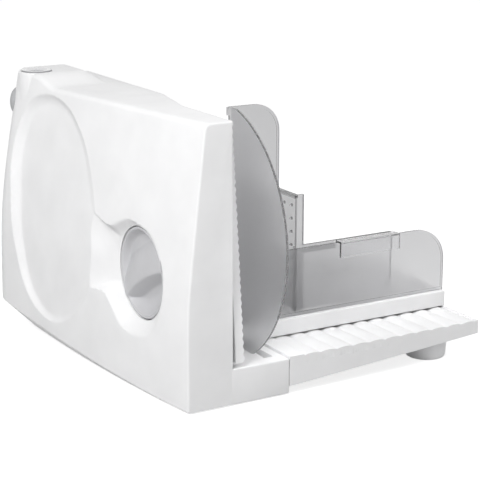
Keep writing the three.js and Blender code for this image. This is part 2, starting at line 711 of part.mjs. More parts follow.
function tray() {
  const crest = TRAY_LEVEL;
  const valley = TRAY_LEVEL - RIB_DEPTH;
  const count = Math.floor((TRAY_WIDTH - 4) / RIB_PITCH);
  const first = trayRight - 2 - count * RIB_PITCH;
  const outline = [[trayLeft, TRAY_LIFT_LEFT], [trayRight, TRAY_LIFT_RIGHT], [trayRight, valley]];
  for (let rib = count - 1; rib >= 0; rib -= 1) {
    const x = first + rib * RIB_PITCH;
    outline.push([x + RIB_PITCH * 0.94, valley], [x + RIB_PITCH * 0.76, crest]);
    outline.push([x + RIB_PITCH * 0.24, crest], [x + RIB_PITCH * 0.06, valley]);
  }
  outline.push([trayLeft, valley]);
  const body = plateY(outline, 0, TRAY_DEPTH);
  const hollow = block(
    trayLeft + WALL, trayRight - WALL, WALL, TRAY_DEPTH - WALL, 0, valley - WALL,
  );
  const bosses = feetOnTray.map(([x, y]) => rod("Z", TRAY_FOOT_R + 2, TRAY_FOOT_SEAT + GAP, valley, x, y));
  const socketEnd = TRAY_FOOT_SEAT + TRAY_PEG_LENGTH + 2 * GAP;
  const sockets = feetOnTray.map(([x, y]) => rod("Z", TRAY_PEG_R + GAP, 0, socketEnd, x, y));
  const screwHoles = trayScrewRows.map((y) =>
    rod("X", TRAY_SCREW_R + GAP, trayLeft - 1, trayLeft + WALL + 1, y, TRAY_SCREW_Z, SMALL_ROUND));
  return cut(join(cut(body, hollow), ...bosses), ...sockets, ...screwHoles);
}

// Stop plate: an outline with a hollow rear edge round the blade, ribbed on its food side
function stopPlate() {
  const shape = new THREE.Shape();
  const rise = Math.sqrt(stopReach ** 2 - (bladeY - stopRear) ** 2);
  const angle = Math.atan2(rise, stopRear - bladeY);
  shape.moveTo(1, STOP_BOTTOM);
  shape.lineTo(stopRear, STOP_BOTTOM);
  shape.lineTo(stopRear, BLADE_Z - rise);
  shape.absarc(bladeY, BLADE_Z, stopReach, -angle, angle, true);
  shape.lineTo(stopRear, STOP_TOP);
  shape.lineTo(1 + STOP_LEAN, STOP_TOP);
  const profile = [[stopBack, STOP_BOTTOM - 1], [STOP_FACE - STOP_RIB, STOP_BOTTOM - 1]];
  const count = Math.ceil((STOP_TOP - STOP_BOTTOM + 2) / STOP_RIB_PITCH);
  for (let rib = 0; rib < count; rib += 1) {
    const z = STOP_BOTTOM - 1 + rib * STOP_RIB_PITCH;
    profile.push([STOP_FACE, z + STOP_RIB_PITCH * 0.3], [STOP_FACE, z + STOP_RIB_PITCH * 0.6]);
    profile.push([STOP_FACE - STOP_RIB, z + STOP_RIB_PITCH * 0.99]);
  }
  profile.push([stopBack, STOP_BOTTOM - 1 + count * STOP_RIB_PITCH]);
  const ribbed = plateY(profile, -1, stopRear + 1);
  return plateX(shape, stopBack - 1, STOP_FACE + 1, 10).intersect(ribbed);
}

// Bridge inside the body that carries the two guide rods and the nut of the adjusting screw
function stopCarrier() {
  const [x0, x1] = [wellFloor + WALL + STOP_TRAVEL_OPEN + 0.5, coverBack - STOP_TRAVEL_CLOSE - 0.5];
  const arm = 9;
  const outline = [
    [ROD_Y - arm, ROD_LOW_Z - arm],
    [ROD_Y + arm, ROD_LOW_Z - arm],
    [knobY + arm + 4, KNOB_Z - arm - 4],
    [knobY + arm + 4, KNOB_Z + arm + 4],
    [ROD_Y + arm, ROD_HIGH_Z + arm],
    [ROD_Y - arm, ROD_HIGH_Z + arm],
  ];
  const nutHole = rod("X", SCREW_R + GAP, x0 - 1, x1 + 1, knobY, KNOB_Z);
  const rodHoles = rods.map(([y, z]) => rod("X", ROD_R + GAP, x0 - 1, x1 + 1, y, z));
  return cut(plateX(outline, x0, x1), nutHole, ...rodHoles);
}

function guideRod([y, z]) {
  return rod("X", ROD_R, wellFloor + WALL + STOP_TRAVEL_OPEN + 0.5, stopBack - GAP, y, z);
}

function guideBush([y, z]) {
  return tube("X", ROD_R + RUNNING_GAP, ROD_R + 2, coverBack, 0, y, z);
}

// Knob: a cupped disc with a wedge grip across it, seated in the recess
function thicknessKnob() {
  const back = wellFloor - 0.5;
  const face = -KNOB_FACE;
  const crest = face - WING_PROUD;
  const floor = back - KNOB_FLOOR;
  const disc = turned(
    [[0, back], [KNOB_R, back], [KNOB_R, face + 1], [KNOB_R - KNOB_RIM, face + 0.5],
      [KNOB_R - 3 * KNOB_RIM, floor - 1], [0, floor]],
    "X", knobY, KNOB_Z, 36,
  );
  const profile = [
    [floor + 1, WING_STEEP_FOOT], [crest, WING_CREST - 2], [crest, WING_CREST + 2],
    [floor + 1, WING_GENTLE_FOOT],
  ];
  const wing = geometryOf(plateY(profile, -KNOB_R, KNOB_R));
  wing.rotateX(THREE.MathUtils.degToRad(WING_TILT)).translate(0, knobY, KNOB_Z);
  const inside = rod("X", KNOB_R - KNOB_RIM, crest, back, knobY, KNOB_Z, 36);
  const bore = rod("X", NECK_R + GAP, neckStart - GAP, back + 1, knobY, KNOB_Z);
  return cut(join(disc, solid(wing).intersect(inside)), bore);
}

// Screw that the knob turns: a plain neck in the knob and a coarse thread in the carrier's nut
function adjustingScrew() {
  const threadStart = wellFloor + WALL + 0.6;
  const end = coverBack - 0.6;
  const neck = rod("X", NECK_R, neckStart, wellFloor + 1, knobY, KNOB_Z);
  const journal = rod("X", SCREW_R - 0.2, wellFloor + 0.2, threadStart + 1, knobY, KNOB_Z);
  const thread = threadedRod({
    rRoot: SCREW_R - 1.6, rTip: SCREW_R - 0.1, length: end - threadStart,
    lead: SCREW_LEAD, starts: 3, land: 0.14, rings: 10, sides: 12,
  });
  thread.applyMatrix4(basis([0, 1, 0], [0, 0, 1], [1, 0, 0])).translate(threadStart, knobY, KNOB_Z);
  return join(neck, journal, solid(thread));
}

function blade() {
  const bevel = 7;
  return turned(
    [[SHAFT_R + GAP, bladeBack], [BLADE_R - bevel, bladeBack], [BLADE_R, BLADE_PLANE - 0.2],
      [BLADE_R, BLADE_PLANE], [SHAFT_R + GAP, BLADE_PLANE], [SHAFT_R + GAP, bladeBack]],
    "X", bladeY, BLADE_Z, 48,
  );
}

function bladeCarrier() {
  const seat = bladeBack - GAP;
  return turned(
    [[SHAFT_R + GAP, BOSS_REACH + 0.5], [BOSS_R, BOSS_REACH + 0.5], [CARRIER_R, seat - 2.5],
      [CARRIER_R, seat], [SHAFT_R + GAP, seat], [SHAFT_R + GAP, BOSS_REACH + 0.5]],
    "X", bladeY, BLADE_Z,
  );
}

function bladeScrew() {
  const under = BLADE_PLANE + GAP;
  const head = turned(
    [[0, under - BLADE_SCREW_LENGTH], [BLADE_SCREW_R, under - BLADE_SCREW_LENGTH], [BLADE_SCREW_R, under],
      [BLADE_SCREW_HEAD_R, under], [BLADE_SCREW_HEAD_R, under + 2], [BLADE_SCREW_HEAD_R - 1.5, under + 3.2],
      [0, under + 3.2]],
    "X", bladeY, BLADE_Z,
  );
  const slotEnd = BLADE_SCREW_HEAD_R - 1;
  return cut(head, block(
    under + 1.8, under + 5, bladeY - slotEnd, bladeY + slotEnd, BLADE_Z - 1, BLADE_Z + 1,
  ));
}

function bladeShaft() {
  const end = BLADE_PLANE - 0.2;
  const bar = rod("X", SHAFT_R, frameX0 - 1, end, bladeY, BLADE_Z);
  const socket = BLADE_PLANE - BLADE_SCREW_LENGTH - 1;
  return cut(bar, rod("X", BLADE_SCREW_R + GAP, socket, end + 1, bladeY, BLADE_Z, SMALL_ROUND));
}

function bladeBush() {
  return tube("X", SHAFT_R + RUNNING_GAP, BUSH_R, coverBack, BOSS_REACH - GAP, bladeY, BLADE_Z);
}

function bladeGear() {
  const outline = gearOutline(BLADE_TEETH, GEAR_MODULE, bladeY, BLADE_Z, 0);
  const bore = rod("X", SHAFT_R + GAP, gearX0 - 1, gearX1 + 1, bladeY, BLADE_Z);
  return cut(plateX(outline, gearX0, gearX1), bore);
}

// Idler: worm wheel and pinion moulded on one hub, on a fixed pin
function idlerGear() {
  const wheelX0 = MOTOR_X - WHEEL_WIDTH / 2;
  const wheelX1 = MOTOR_X + WHEEL_WIDTH / 2;
  const pinionPhase = 0.5 + PINION_TEETH / 4;
  const pinionOutline = gearOutline(PINION_TEETH, GEAR_MODULE, idlerY, idlerZ, pinionPhase);
  const helix = Math.atan((WORM_STARTS * GEAR_MODULE) / (2 * WORM_R));
  const sections = [wheelX0, MOTOR_X, wheelX1].map((x) => {
    const phase = 0.5 + WHEEL_TEETH / 4 + ((x - MOTOR_X) * Math.tan(helix)) / (Math.PI * GEAR_MODULE);
    const outline = gearOutline(WHEEL_TEETH, GEAR_MODULE, idlerY, idlerZ, phase);
    return outline.map(([y, z]) => new THREE.Vector3(y, x, z));
  });
  const pinion = plateX(pinionOutline, gearX0, gearX1);
  const hub = rod("X", IDLER_HUB_R, wheelX0, gearX1, idlerY, idlerZ);
  const bore = rod("X", IDLER_PIN_R + RUNNING_GAP, wheelX0 - 1, gearX1 + 1, idlerY, idlerZ);
  return cut(join(pinion, stackedAlongX(sections), hub), bore);
}

// Sections drawn as if stacked along Y are turned so that they stack along X
function stackedAlongX(sections) {
  const geometry = geometryOf(loft(sections));
  geometry.applyMatrix4(basis([0, 1, 0], [1, 0, 0], [0, 0, 1]));
  return solid(geometry);
}

function idlerPin() {
  return rod("X", IDLER_PIN_R, MOTOR_X - WHEEL_WIDTH / 2 - 1, -1 - GAP, idlerY, idlerZ);
}

function gearFrame() {
  const [highFar, highNear, lowFar, lowNear] = framePosts;
  const plate = plateX([
    [lowNear[0] - FRAME_EDGE, lowNear[1] - FRAME_EDGE],
    [lowFar[0] + FRAME_EDGE, lowFar[1] - FRAME_EDGE],
    [highFar[0] + FRAME_EDGE, lowFar[1]],
    [highFar[0] + FRAME_EDGE, highFar[1] + FRAME_EDGE],
    [highNear[0] - FRAME_EDGE, highNear[1] + FRAME_EDGE],
    [highNear[0] - FRAME_EDGE, lowNear[1]],
  ], frameX0, frameX1);
  const shaftHole = rod("X", SHAFT_R + RUNNING_GAP, frameX0 - 1, frameX1 + 1, bladeY, BLADE_Z);
  const hubHole = rod("X", IDLER_HUB_R + 0.5, frameX0 - 1, frameX1 + 1, idlerY, idlerZ);
  const screwHoles = framePosts.map(([y, z]) =>
    rod("X", FRAME_SCREW_R + 2 * GAP, frameX0 - 1, frameX1 + 1, y, z, SMALL_ROUND));
  return cut(plate, shaftHole, hubHole, ...screwHoles);
}

function motorCan() {
  const can = turned(
    [[0, motorY0], [MOTOR_R - 1.5, motorY0], [MOTOR_R, motorY0 + 1.5], [MOTOR_R, motorY1 - 2],
      [MOTOR_R - 3, motorY1], [0, motorY1]],
    "Y", MOTOR_X, wormZ,
  );
  const bore = rod(
    "Y", MOTOR_SHAFT_R + RUNNING_GAP, motorY0 - 1, motorY1 - MOTOR_CAP, MOTOR_X, wormZ, SMALL_ROUND,
  );
  return cut(can, bore);
}

function motorShaft() {
  const lead = WORM_STARTS * Math.PI * GEAR_MODULE;
  const length = lead * WORM_STARTS * 1.5;
  const thread = threadedRod({
    rRoot: WORM_R - 1.15 * GEAR_MODULE, rTip: WORM_R + 0.7 * GEAR_MODULE, length, lead, starts: WORM_STARTS,
    land: 0.08, rings: 30, sides: 10,
  });
  thread.applyMatrix4(basis([0, 0, 1], [1, 0, 0], [0, 1, 0])).translate(MOTOR_X, bladeY - length / 2, wormZ);
  const end = motorY1 - MOTOR_CAP - GAP;
  const shaft = rod("Y", MOTOR_SHAFT_R, bladeY, end, MOTOR_X, wormZ, SMALL_ROUND);
  return join(solid(thread), shaft);
}

function motorBracket() {
  const [y0, y1] = [motorY0 - GAP - FRAME_THICK, motorY0 - GAP];
  const [z0, z1] = [wormZ - MOTOR_R, wormZ + MOTOR_R];
  const front = block(MOTOR_X - MOTOR_R + 2, frameX0 - GAP, y0, y1, z0, z1);
  const flange = block(frameX0 - GAP - FRAME_THICK, frameX0 - GAP, y1 - BRACKET_FLANGE, y1, z0, z1);
  return cut(join(front, flange), rod("Y", MOTOR_SHAFT_R + 1, y0 - 1, y1 + 1, MOTOR_X, wormZ, SMALL_ROUND));
}

// Switch under both buttons: its far corner is cut square to the safety button's axis
function switchBlock() {
  const slope = Math.tan(THREE.MathUtils.degToRad(SAFETY_TURN));
  const reach = safetySeat / Math.cos(THREE.MathUtils.degToRad(SAFETY_TURN));
  const cutAt = (x) => cornerY + reach + (x - cornerX) * slope;
  const outline = [
    [switchLeft, switchNear],
    [switchRight, switchNear],
    [switchRight, switchFar],
    [cornerX + (switchFar - cornerY - reach) / slope, switchFar],
    [switchLeft, cutAt(switchLeft)],
  ];
  const pad = rod("Z", SPRING_R + SPRING_WIRE, SWITCH_TOP - SWITCH_PAD, SWITCH_TOP, BUTTON_X, buttonY);
  return join(plateZ(outline, shelfTop + GAP, SWITCH_TOP), pad);
}

// Button turned about its own axis: a dished cap, a retaining flange and a stem
function onButton() {
  const stemEnd = SWITCH_TOP + BUTTON_TRAVEL + GAP;
  const flangeTop = onUnder + BUTTON_FLANGE;
  const top = platformTop + BUTTON_PROUD;
  const profile = [
    [0, stemEnd], [BUTTON_STEM_R, stemEnd], [BUTTON_STEM_R, onUnder], [BUTTON_R + BUTTON_LEDGE, onUnder],
    [BUTTON_R + BUTTON_LEDGE, flangeTop], [BUTTON_R, flangeTop], [BUTTON_R, top - 1], [BUTTON_R - 1, top],
    [BUTTON_R - 2.5, top], [BUTTON_R - 5, top - 0.8], [0, top - BUTTON_PROUD],
  ];
  return turned(profile, "Z", BUTTON_X, buttonY);
}

function safetyButton() {
  const stemEnd = safetySeat + BUTTON_TRAVEL + GAP;
  const flangeTop = safetyUnder + BUTTON_FLANGE;
  const top = FAR_ROUND + SAFETY_PROUD;
  return facingCorner([
    [0, stemEnd], [BUTTON_STEM_R, stemEnd], [BUTTON_STEM_R, safetyUnder], [safetyFlangeR, safetyUnder],
    [safetyFlangeR, flangeTop], [SAFETY_R, flangeTop], [SAFETY_R, top - 3.5], [SAFETY_R - 1.2, top - 1.6],
    [SAFETY_R * 0.55, top - 0.3], [0, top],
  ]);
}

// A coil spring along an axis, one unbroken round wire
function coilSpring(r, wire, turns, from, to) {
  const low = Math.min(from, to) + wire;
  const high = Math.max(from, to) - wire;
  const steps = turns * 8;
  const points = [];
  for (let step = 0; step <= steps; step += 1) {
    const angle = (2 * Math.PI * step) / 8;
    points.push(new THREE.Vector3(r * Math.cos(angle), r * Math.sin(angle), lerp(low, high, step / steps)));
  }
  const section = new THREE.Shape();
  section.absarc(0, 0, wire / 2, 0, 2 * Math.PI, false);
  return new THREE.ExtrudeGeometry(section, {
    steps, curveSegments: 3, bevelEnabled: false, extrudePath: new THREE.CatmullRomCurve3(points),
  });
}

function onSpring() {
  const geometry = coilSpring(SPRING_R, SPRING_WIRE, 3, SWITCH_TOP + GAP, onUnder - GAP);
  return solid(geometry.translate(BUTTON_X, buttonY, 0));
}

function safetySpring() {
  const geometry = coilSpring(SPRING_R, SPRING_WIRE, 3, safetySeat + GAP, safetyUnder - GAP);
  geometry.applyMatrix4(basis([0, 0, 1], [1, 0, 0], [0, 1, 0]));
  return solid(toCorner(geometry));
}

function carriageTable() {
  const rear = TABLE_FRONT + TABLE_LENGTH;
  const body = block(TABLE_LEFT, TABLE_RIGHT, TABLE_FRONT, rear, tableUnder, TABLE_TOP);
  const hollow = block(
    TABLE_LEFT + WALL, TABLE_RIGHT - WALL, TABLE_FRONT + WALL, rear - WALL,
    tableUnder - 1, TABLE_TOP - TABLE_SKIN,
  );
  const slot = block(
    TABLE_LEFT - 1, TABLE_RIGHT + 1, WALL_Y - GAP, guardBack + GAP, TABLE_TOP - SLOT_DEPTH, TABLE_TOP + 1,
  );
  return cut(body, hollow, slot);
}

function carriageRunner() {
  const rear = TABLE_FRONT + TABLE_LENGTH - WALL - 5;
  const inset = 0.6;
  return block(
    GROOVE_X + inset, GROOVE_X + GROOVE_WIDTH - inset, rear - RUNNER_LENGTH, rear,
    STEP_TOP - GROOVE_DEPTH + 1, TABLE_TOP - TABLE_SKIN - GAP,
  );
}

// Clear guard: low wall, thumb panel and half disc in one moulding
function carriageGuard() {
  const bottom = TABLE_TOP - SLOT_DEPTH + GAP;
  const wall = new THREE.Shape();
  wall.moveTo(GUARD_PLANE, bottom);
  wall.lineTo(WALL_RIGHT, bottom);
  wall.lineTo(WALL_RIGHT, WALL_TOP - WALL_CORNER);
  wall.absarc(WALL_RIGHT - WALL_CORNER, WALL_TOP - WALL_CORNER, WALL_CORNER, 0, Math.PI / 2, false);
  wall.lineTo(GUARD_PLANE, WALL_TOP);
  const thumb = new THREE.Shape();
  thumb.moveTo(GUARD_PLANE, bottom);
  thumb.lineTo(THUMB_RIGHT, bottom);
  thumb.lineTo(THUMB_RIGHT, THUMB_TOP - THUMB_CORNER);
  thumb.absarc(THUMB_RIGHT - THUMB_CORNER, THUMB_TOP - THUMB_CORNER, THUMB_CORNER, 0, Math.PI / 2, false);
  thumb.lineTo(GUARD_PLANE, THUMB_TOP);
  const lipBottom = THUMB_TOP - THUMB_LIP_HEIGHT;
  const lip = block(GUARD_PLANE - THUMB_LIP, GUARD_PLANE + 1, WALL_Y, guardBack, lipBottom, THUMB_TOP);
  const disc = rod("X", GUARD_R, GUARD_PLANE, GUARD_PLANE + GUARD_THICK, guardCentreY, BLADE_Z, 60);
  const kept = block(
    GUARD_PLANE - 1, GUARD_PLANE + GUARD_THICK + 1, guardCentreY - GUARD_R - 1, guardBack,
    STEP_TOP + GUARD_RISE, THUMB_TOP,
  );
  return join(plateY(wall, WALL_Y, guardBack), plateY(thumb, WALL_Y, guardBack), lip, disc.intersect(kept));
}

function pusher() {
  const front = guardBack + CLIP_GAP;
  const floor = TABLE_TOP + CLIP_GAP;
  const plate = block(PUSHER_X, PUSHER_X + PUSHER_THICK, front, front + PUSHER_DEPTH, floor, PUSHER_TOP);
  const flange = block(PUSHER_X, PUSHER_X + PUSHER_FLANGE, front, front + PUSHER_THICK, floor, PUSHER_TOP);
  const clipUnder = WALL_TOP + CLIP_GAP;
  const clipTop = clipUnder + PUSHER_THICK;
  const arm = block(PUSHER_X, PUSHER_X + ARM_LENGTH, front, front + PUSHER_THICK, floor, clipTop - 0.5);
  const lipY = WALL_Y - CLIP_GAP;
  const lipFront = lipY - PUSHER_THICK;
  const roof = block(CLIP_LEFT, CLIP_RIGHT, lipFront, front + PUSHER_THICK, clipUnder, clipTop);
  const lip = block(CLIP_LEFT, CLIP_RIGHT, lipFront, lipY, clipTop - CLIP_DROP, clipTop);
  const back = block(CLIP_RIGHT - 4, CLIP_RIGHT, front, front + PUSHER_THICK, WALL_TOP - CLIP_DROP, clipTop);
  const pips = [];
  const rows = Math.floor((PUSHER_TOP - floor - PIP_PITCH) / PIP_PITCH);
  const columns = Math.floor((PUSHER_DEPTH - 4) / PIP_PITCH);
  for (let row = 0; row < rows; row += 1) {
    for (let column = 0; column < columns; column += 1) {
      const y = front + 5 + column * PIP_PITCH;
      const z = PUSHER_TOP - 9 - row * PIP_PITCH;
      const cone = [[0, PUSHER_X - PIP_HEIGHT], [PIP_R, PUSHER_X + 0.2], [0, PUSHER_X + 0.2]];
      pips.push(turned(cone, "X", y, z, 4));
    }
  }
  return join(plate, flange, arm, roof, lip, back, ...pips);
}

function trayFoot([x, y]) {
  const tip = TRAY_FOOT_SEAT + TRAY_PEG_LENGTH;
  return turned(
    [[0, 0], [TRAY_FOOT_R - 2, 0], [TRAY_FOOT_R - 1, 1.5], [TRAY_FOOT_R, 9], [TRAY_FOOT_R, TRAY_FOOT_SEAT],
      [TRAY_PEG_R, TRAY_FOOT_SEAT], [TRAY_PEG_R, tip], [0, tip]],
    "Z", x, y,
  );
}

function bodyFoot([x, y]) {
  const top = BODY_FLOOR - GAP;
  return turned(
    [[0, 0], [BODY_FOOT_R, 0], [BODY_FOOT_R, top], [BODY_PEG_R, top], [BODY_PEG_R, BODY_FLOOR + WALL],
      [0, BODY_FLOOR + WALL]],
    "Z", x, y, SMALL_ROUND,
  );
}

function cordGland() {
  const wall = BODY_DEPTH - WALL;
  return turned(
    [[CORD_R, wall - 3], [GLAND_R + 1.5, wall - 3], [GLAND_R + 1.5, wall - GAP], [GLAND_R, wall - GAP],
      [GLAND_R, BODY_DEPTH + GAP], [GLAND_R + 2, BODY_DEPTH + GAP], [GLAND_R + 0.5, BODY_DEPTH + GLAND_REACH],
      [CORD_R, BODY_DEPTH + GLAND_REACH], [CORD_R, wall - 3]],
    "Y", GLAND_X, GLAND_Z, SMALL_ROUND,
  );
}

// Screws, each turned about X from its head to its tip
function coverScrew([y, z]) {
  return turned(
    [[0, coverScrewTip], [COVER_SCREW_R, coverScrewTip], [COVER_SCREW_R, coverScrewUnder],
      [COVER_SCREW_HEAD_R, coverScrewUnder], [COVER_SCREW_HEAD_R, coverScrewUnder + HEAD_HEIGHT],
      [0, coverScrewUnder + HEAD_HEIGHT]],
    "X", y, z, SMALL_ROUND,
  );
}

function frameScrew([y, z]) {
  const under = frameX0 - GAP;
  return turned(
    [[0, under - HEAD_HEIGHT], [FRAME_SCREW_HEAD_R, under - HEAD_HEIGHT], [FRAME_SCREW_HEAD_R, under],
      [FRAME_SCREW_R, under], [FRAME_SCREW_R, coverBack - 1], [0, coverBack - 1]],
    "X", y, z, SMALL_ROUND,
  );
}

function trayScrew(y) {
  const under = stepRight - WALL - GAP;
  const tip = trayLeft + WALL + SCREW_TIP;
  return turned(
    [[0, under - HEAD_HEIGHT], [TRAY_SCREW_HEAD_R, under - HEAD_HEIGHT], [TRAY_SCREW_HEAD_R, under],
      [TRAY_SCREW_R, under], [TRAY_SCREW_R, tip], [0, tip]],
    "X", y, TRAY_SCREW_Z, SMALL_ROUND,
  );
}

// Assembly
const slicer = new THREE.Group();

function add(name, piece, material) {
  const mesh = new THREE.Mesh(geometryOf(piece), material);
  mesh.name = name;
  slicer.add(mesh);
}

add("housing_shell", housingShell(), whitePlastic());
add("inner_cover", innerCover(), whitePlastic());
add("bottom_cover", bottomCover(), greyPlastic());
add("tray", tray(), whitePlastic());
add("stop_plate", stopPlate(), whitePlastic());
add("stop_carrier", stopCarrier(), nylon());
add("guide_rod_low", guideRod(rods[0]), steel());
add("guide_rod_high", guideRod(rods[1]), steel());
add("guide_bush_low", guideBush(rods[0]), nylon());
add("guide_bush_high", guideBush(rods[1]), nylon());
add("thickness_knob", thicknessKnob(), silverPlastic());
add("adjusting_screw", adjustingScrew(), nylon());
add("blade", blade(), steel());
add("blade_carrier", bladeCarrier(), nylon());
add("blade_screw", bladeScrew(), greyPlastic());
add("blade_shaft", bladeShaft(), steel());
add("blade_bush", bladeBush(), brass());
add("blade_gear", bladeGear(), nylon());
add("idler_gear", idlerGear(), nylon());
add("idler_pin", idlerPin(), steel());
add("gear_frame", gearFrame(), steel());
add("motor_can", motorCan(), steel());
add("motor_shaft", motorShaft(), brass());
add("motor_bracket", motorBracket(), steel());
add("on_button", onButton(), silverPlastic());
add("on_button_spring", onSpring(), steel());
add("safety_button", safetyButton(), greyPlastic());
add("safety_button_spring", safetySpring(), steel());
add("switch_block", switchBlock(), blackRubber());
add("carriage_table", carriageTable(), whitePlastic());
add("carriage_runner", carriageRunner(), nylon());
add("carriage_guard", carriageGuard(), smokyPlastic());
add("pusher", pusher(), smokyPlastic());
add("tray_foot_front", trayFoot(feetOnTray[0]), greyPlastic());
add("tray_foot_rear", trayFoot(feetOnTray[1]), greyPlastic());
add("body_foot_near_left", bodyFoot(bodyFeet[0]), blackRubber());
add("body_foot_far_left", bodyFoot(bodyFeet[1]), blackRubber());
add("body_foot_near_right", bodyFoot(bodyFeet[2]), blackRubber());
add("body_foot_far_right", bodyFoot(bodyFeet[3]), blackRubber());
add("cord_gland", cordGland(), blackRubber());
coverScrews.forEach((place, i) => add(`cover_screw_${i + 1}`, coverScrew(place), steel()));
framePosts.forEach((place, i) => add(`frame_screw_${i + 1}`, frameScrew(place), steel()));
trayScrewRows.forEach((y, i) => add(`tray_screw_${i + 1}`, trayScrew(y), steel()));

// The origin is the middle of the base
const bounds = new THREE.Box3().setFromObject(slicer);
const centre = bounds.getCenter(new THREE.Vector3());
slicer.children.forEach((mesh) => mesh.position.set(-centre.x, -centre.y, -bounds.min.z));

export default slicer;
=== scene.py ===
import math

import bpy
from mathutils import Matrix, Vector


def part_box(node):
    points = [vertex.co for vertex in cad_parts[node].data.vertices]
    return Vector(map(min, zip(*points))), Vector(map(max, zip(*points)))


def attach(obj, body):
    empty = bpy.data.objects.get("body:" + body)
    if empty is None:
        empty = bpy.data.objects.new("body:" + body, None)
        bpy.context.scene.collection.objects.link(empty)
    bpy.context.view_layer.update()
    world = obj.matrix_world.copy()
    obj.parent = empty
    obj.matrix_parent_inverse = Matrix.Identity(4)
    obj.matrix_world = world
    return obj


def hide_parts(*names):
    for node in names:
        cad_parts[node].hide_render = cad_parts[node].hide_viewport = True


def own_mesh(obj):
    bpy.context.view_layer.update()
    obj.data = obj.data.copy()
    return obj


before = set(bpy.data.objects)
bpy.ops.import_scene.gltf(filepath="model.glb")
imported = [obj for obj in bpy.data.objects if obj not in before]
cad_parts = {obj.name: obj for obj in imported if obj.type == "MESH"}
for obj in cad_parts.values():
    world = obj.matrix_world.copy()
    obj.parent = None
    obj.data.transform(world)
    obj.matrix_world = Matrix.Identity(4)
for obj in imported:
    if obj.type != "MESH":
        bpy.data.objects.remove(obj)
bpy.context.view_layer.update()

# Housing
# The motor body with its base step, one injection moulding in white ABS with a satin skin. The big
# outer face is a free form, a hand dish that runs into the funnel round the knob, so that skin is a
# fine grid laid on its sections. The cores, the step, the hood and the holes are then cut and joined.
MM = 0.001
CORNER = Vector((-70.7035, -118.0, 0.0))
DEPTH = 258.0
TOP = 201.0
FLOOR = 1.2
WALL = 2.5
FAR_ROUND = 24.0
FAR_EDGE = 5.0
NEAR_EDGE = 1.6
FACE_LOW = (36, 78)
FACE_TOP = (21, 58)
FACE_KNEE = (75, 105)
KNEE_SOFT = (16, 40)
TUCK = (1, 28)
TUCK_CURVE = 1.7
TUCK_STEPS = 5
SHOULDER_R = 4.0
CORE_SHOULDER_R = 1.5
CORE_RIGHT = -4.0
OUTSIDE = -80
KNOB = (64.0, 86.0)
WELL_R = 33.8
WELL_RIM = -38.0
WELL_FLOOR = -25.5
BLADE = (160, 110)
DISH = (172.0, 112.0)
DISH_LEAST = 0.4
DISH_FAR = 5.8
DISH_FAR_CURVE = 1.2
DISH_BOWL = 1.5
DISH_TURN = 0.15
DISH_CLIMB = (5, 9)
DISH_RIM = [
    (194, 195.5), (217, 187.5), (229, 167), (232.5, 140), (228, 110), (218.5, 72), (197.5, 36), (174.5, 25.5),
    (156, 28), (139.5, 37.5), (122.5, 57), (111.5, 87), (114, 116), (125, 146.5), (145, 175.5), (167, 191),
]
FUNNEL_EDGE = [
    (61, 121.5), (46, 117), (34, 104), (29, 86), (33, 64), (41, 50), (52, 43.5), (62.5, 42), (71, 43),
    (78, 45), (86, 53), (95, 63), (102, 66), (109.5, 65.5), (116, 65.5), (118, 90), (118, 120),
    (106, 116.5), (95.5, 115), (85.5, 119.5), (76.5, 123.5), (69.5, 123.5),
]
BUTTON = (-42.0, 231.0)
BUTTON_HOLE_R = 11.9
PLATFORM = 7.0
PLATFORM_LENGTH = 72
PLATFORM_RAMP = 32
PLATFORM_EDGE = -9
PLATFORM_EDGE_SHIFT = 4.5
STEP_LOW = 0.8
STEP_RIGHT = 45.85
STEP_TOP = 27
HOOD_FULL = 126
HOOD_RAMP = 66
HOOD_REACH = 15
HOOD_START = 0.2
HOOD_IN = -6
HOOD_OUT = 20
MOUTH_R = 87.5


def at(x, y, z):
    return (CORNER + Vector((x, y, z))) * MM


def ease(value, start, end):
    share = min(1.0, max(0.0, (value - start) / (end - start)))
    return share * share * (3 - 2 * share)


def mix(a, b, share):
    return a + (b - a) * share


def soft_max(a, b, width):
    return 0.5 * (a + b + math.sqrt((a - b) ** 2 + width * width))


def reach_round(points, centre):
    polar = sorted((math.atan2(z - centre[1], y - centre[0]), math.hypot(y - centre[0], z - centre[1]))
                   for y, z in points)
    turn = 2 * math.pi
    angles = [polar[-1][0] - turn] + [a for a, r in polar] + [polar[0][0] + turn, polar[1][0] + turn]
    reaches = [polar[-1][1]] + [r for a, r in polar] + [polar[0][1], polar[1][1]]
    angles.insert(0, polar[-2][0] - turn)
    reaches.insert(0, polar[-2][1])

    def reach(angle):
        i = next(k for k in range(1, len(angles) - 2) if angles[k + 1] >= angle)
        share = (angle - angles[i]) / (angles[i + 1] - angles[i])
        left, right = reaches[i], reaches[i + 1]
        slope_a = (right - reaches[i - 1]) / (angles[i + 1] - angles[i - 1]) * (angles[i + 1] - angles[i])
        slope_b = (reaches[i + 2] - left) / (angles[i + 2] - angles[i]) * (angles[i + 1] - angles[i])
        t2, t3 = share * share, share ** 3
        return ((2 * t3 - 3 * t2 + 1) * left + (t3 - 2 * t2 + share) * slope_a
                + (3 * t2 - 2 * t3) * right + (t3 - t2) * slope_b)
    return reach


dish_reach = reach_round(DISH_RIM, DISH)
funnel_reach = reach_round(FUNNEL_EDGE, KNOB)


def plain_face(y, z):
    share = y / DEPTH
    low, top, knee = mix(*FACE_LOW, share), mix(*FACE_TOP, share), mix(*FACE_KNEE, share)
    over_knee = soft_max(0, z - knee, mix(*KNEE_SOFT, share))
    return -mix(low, top, over_knee / (TOP - knee))


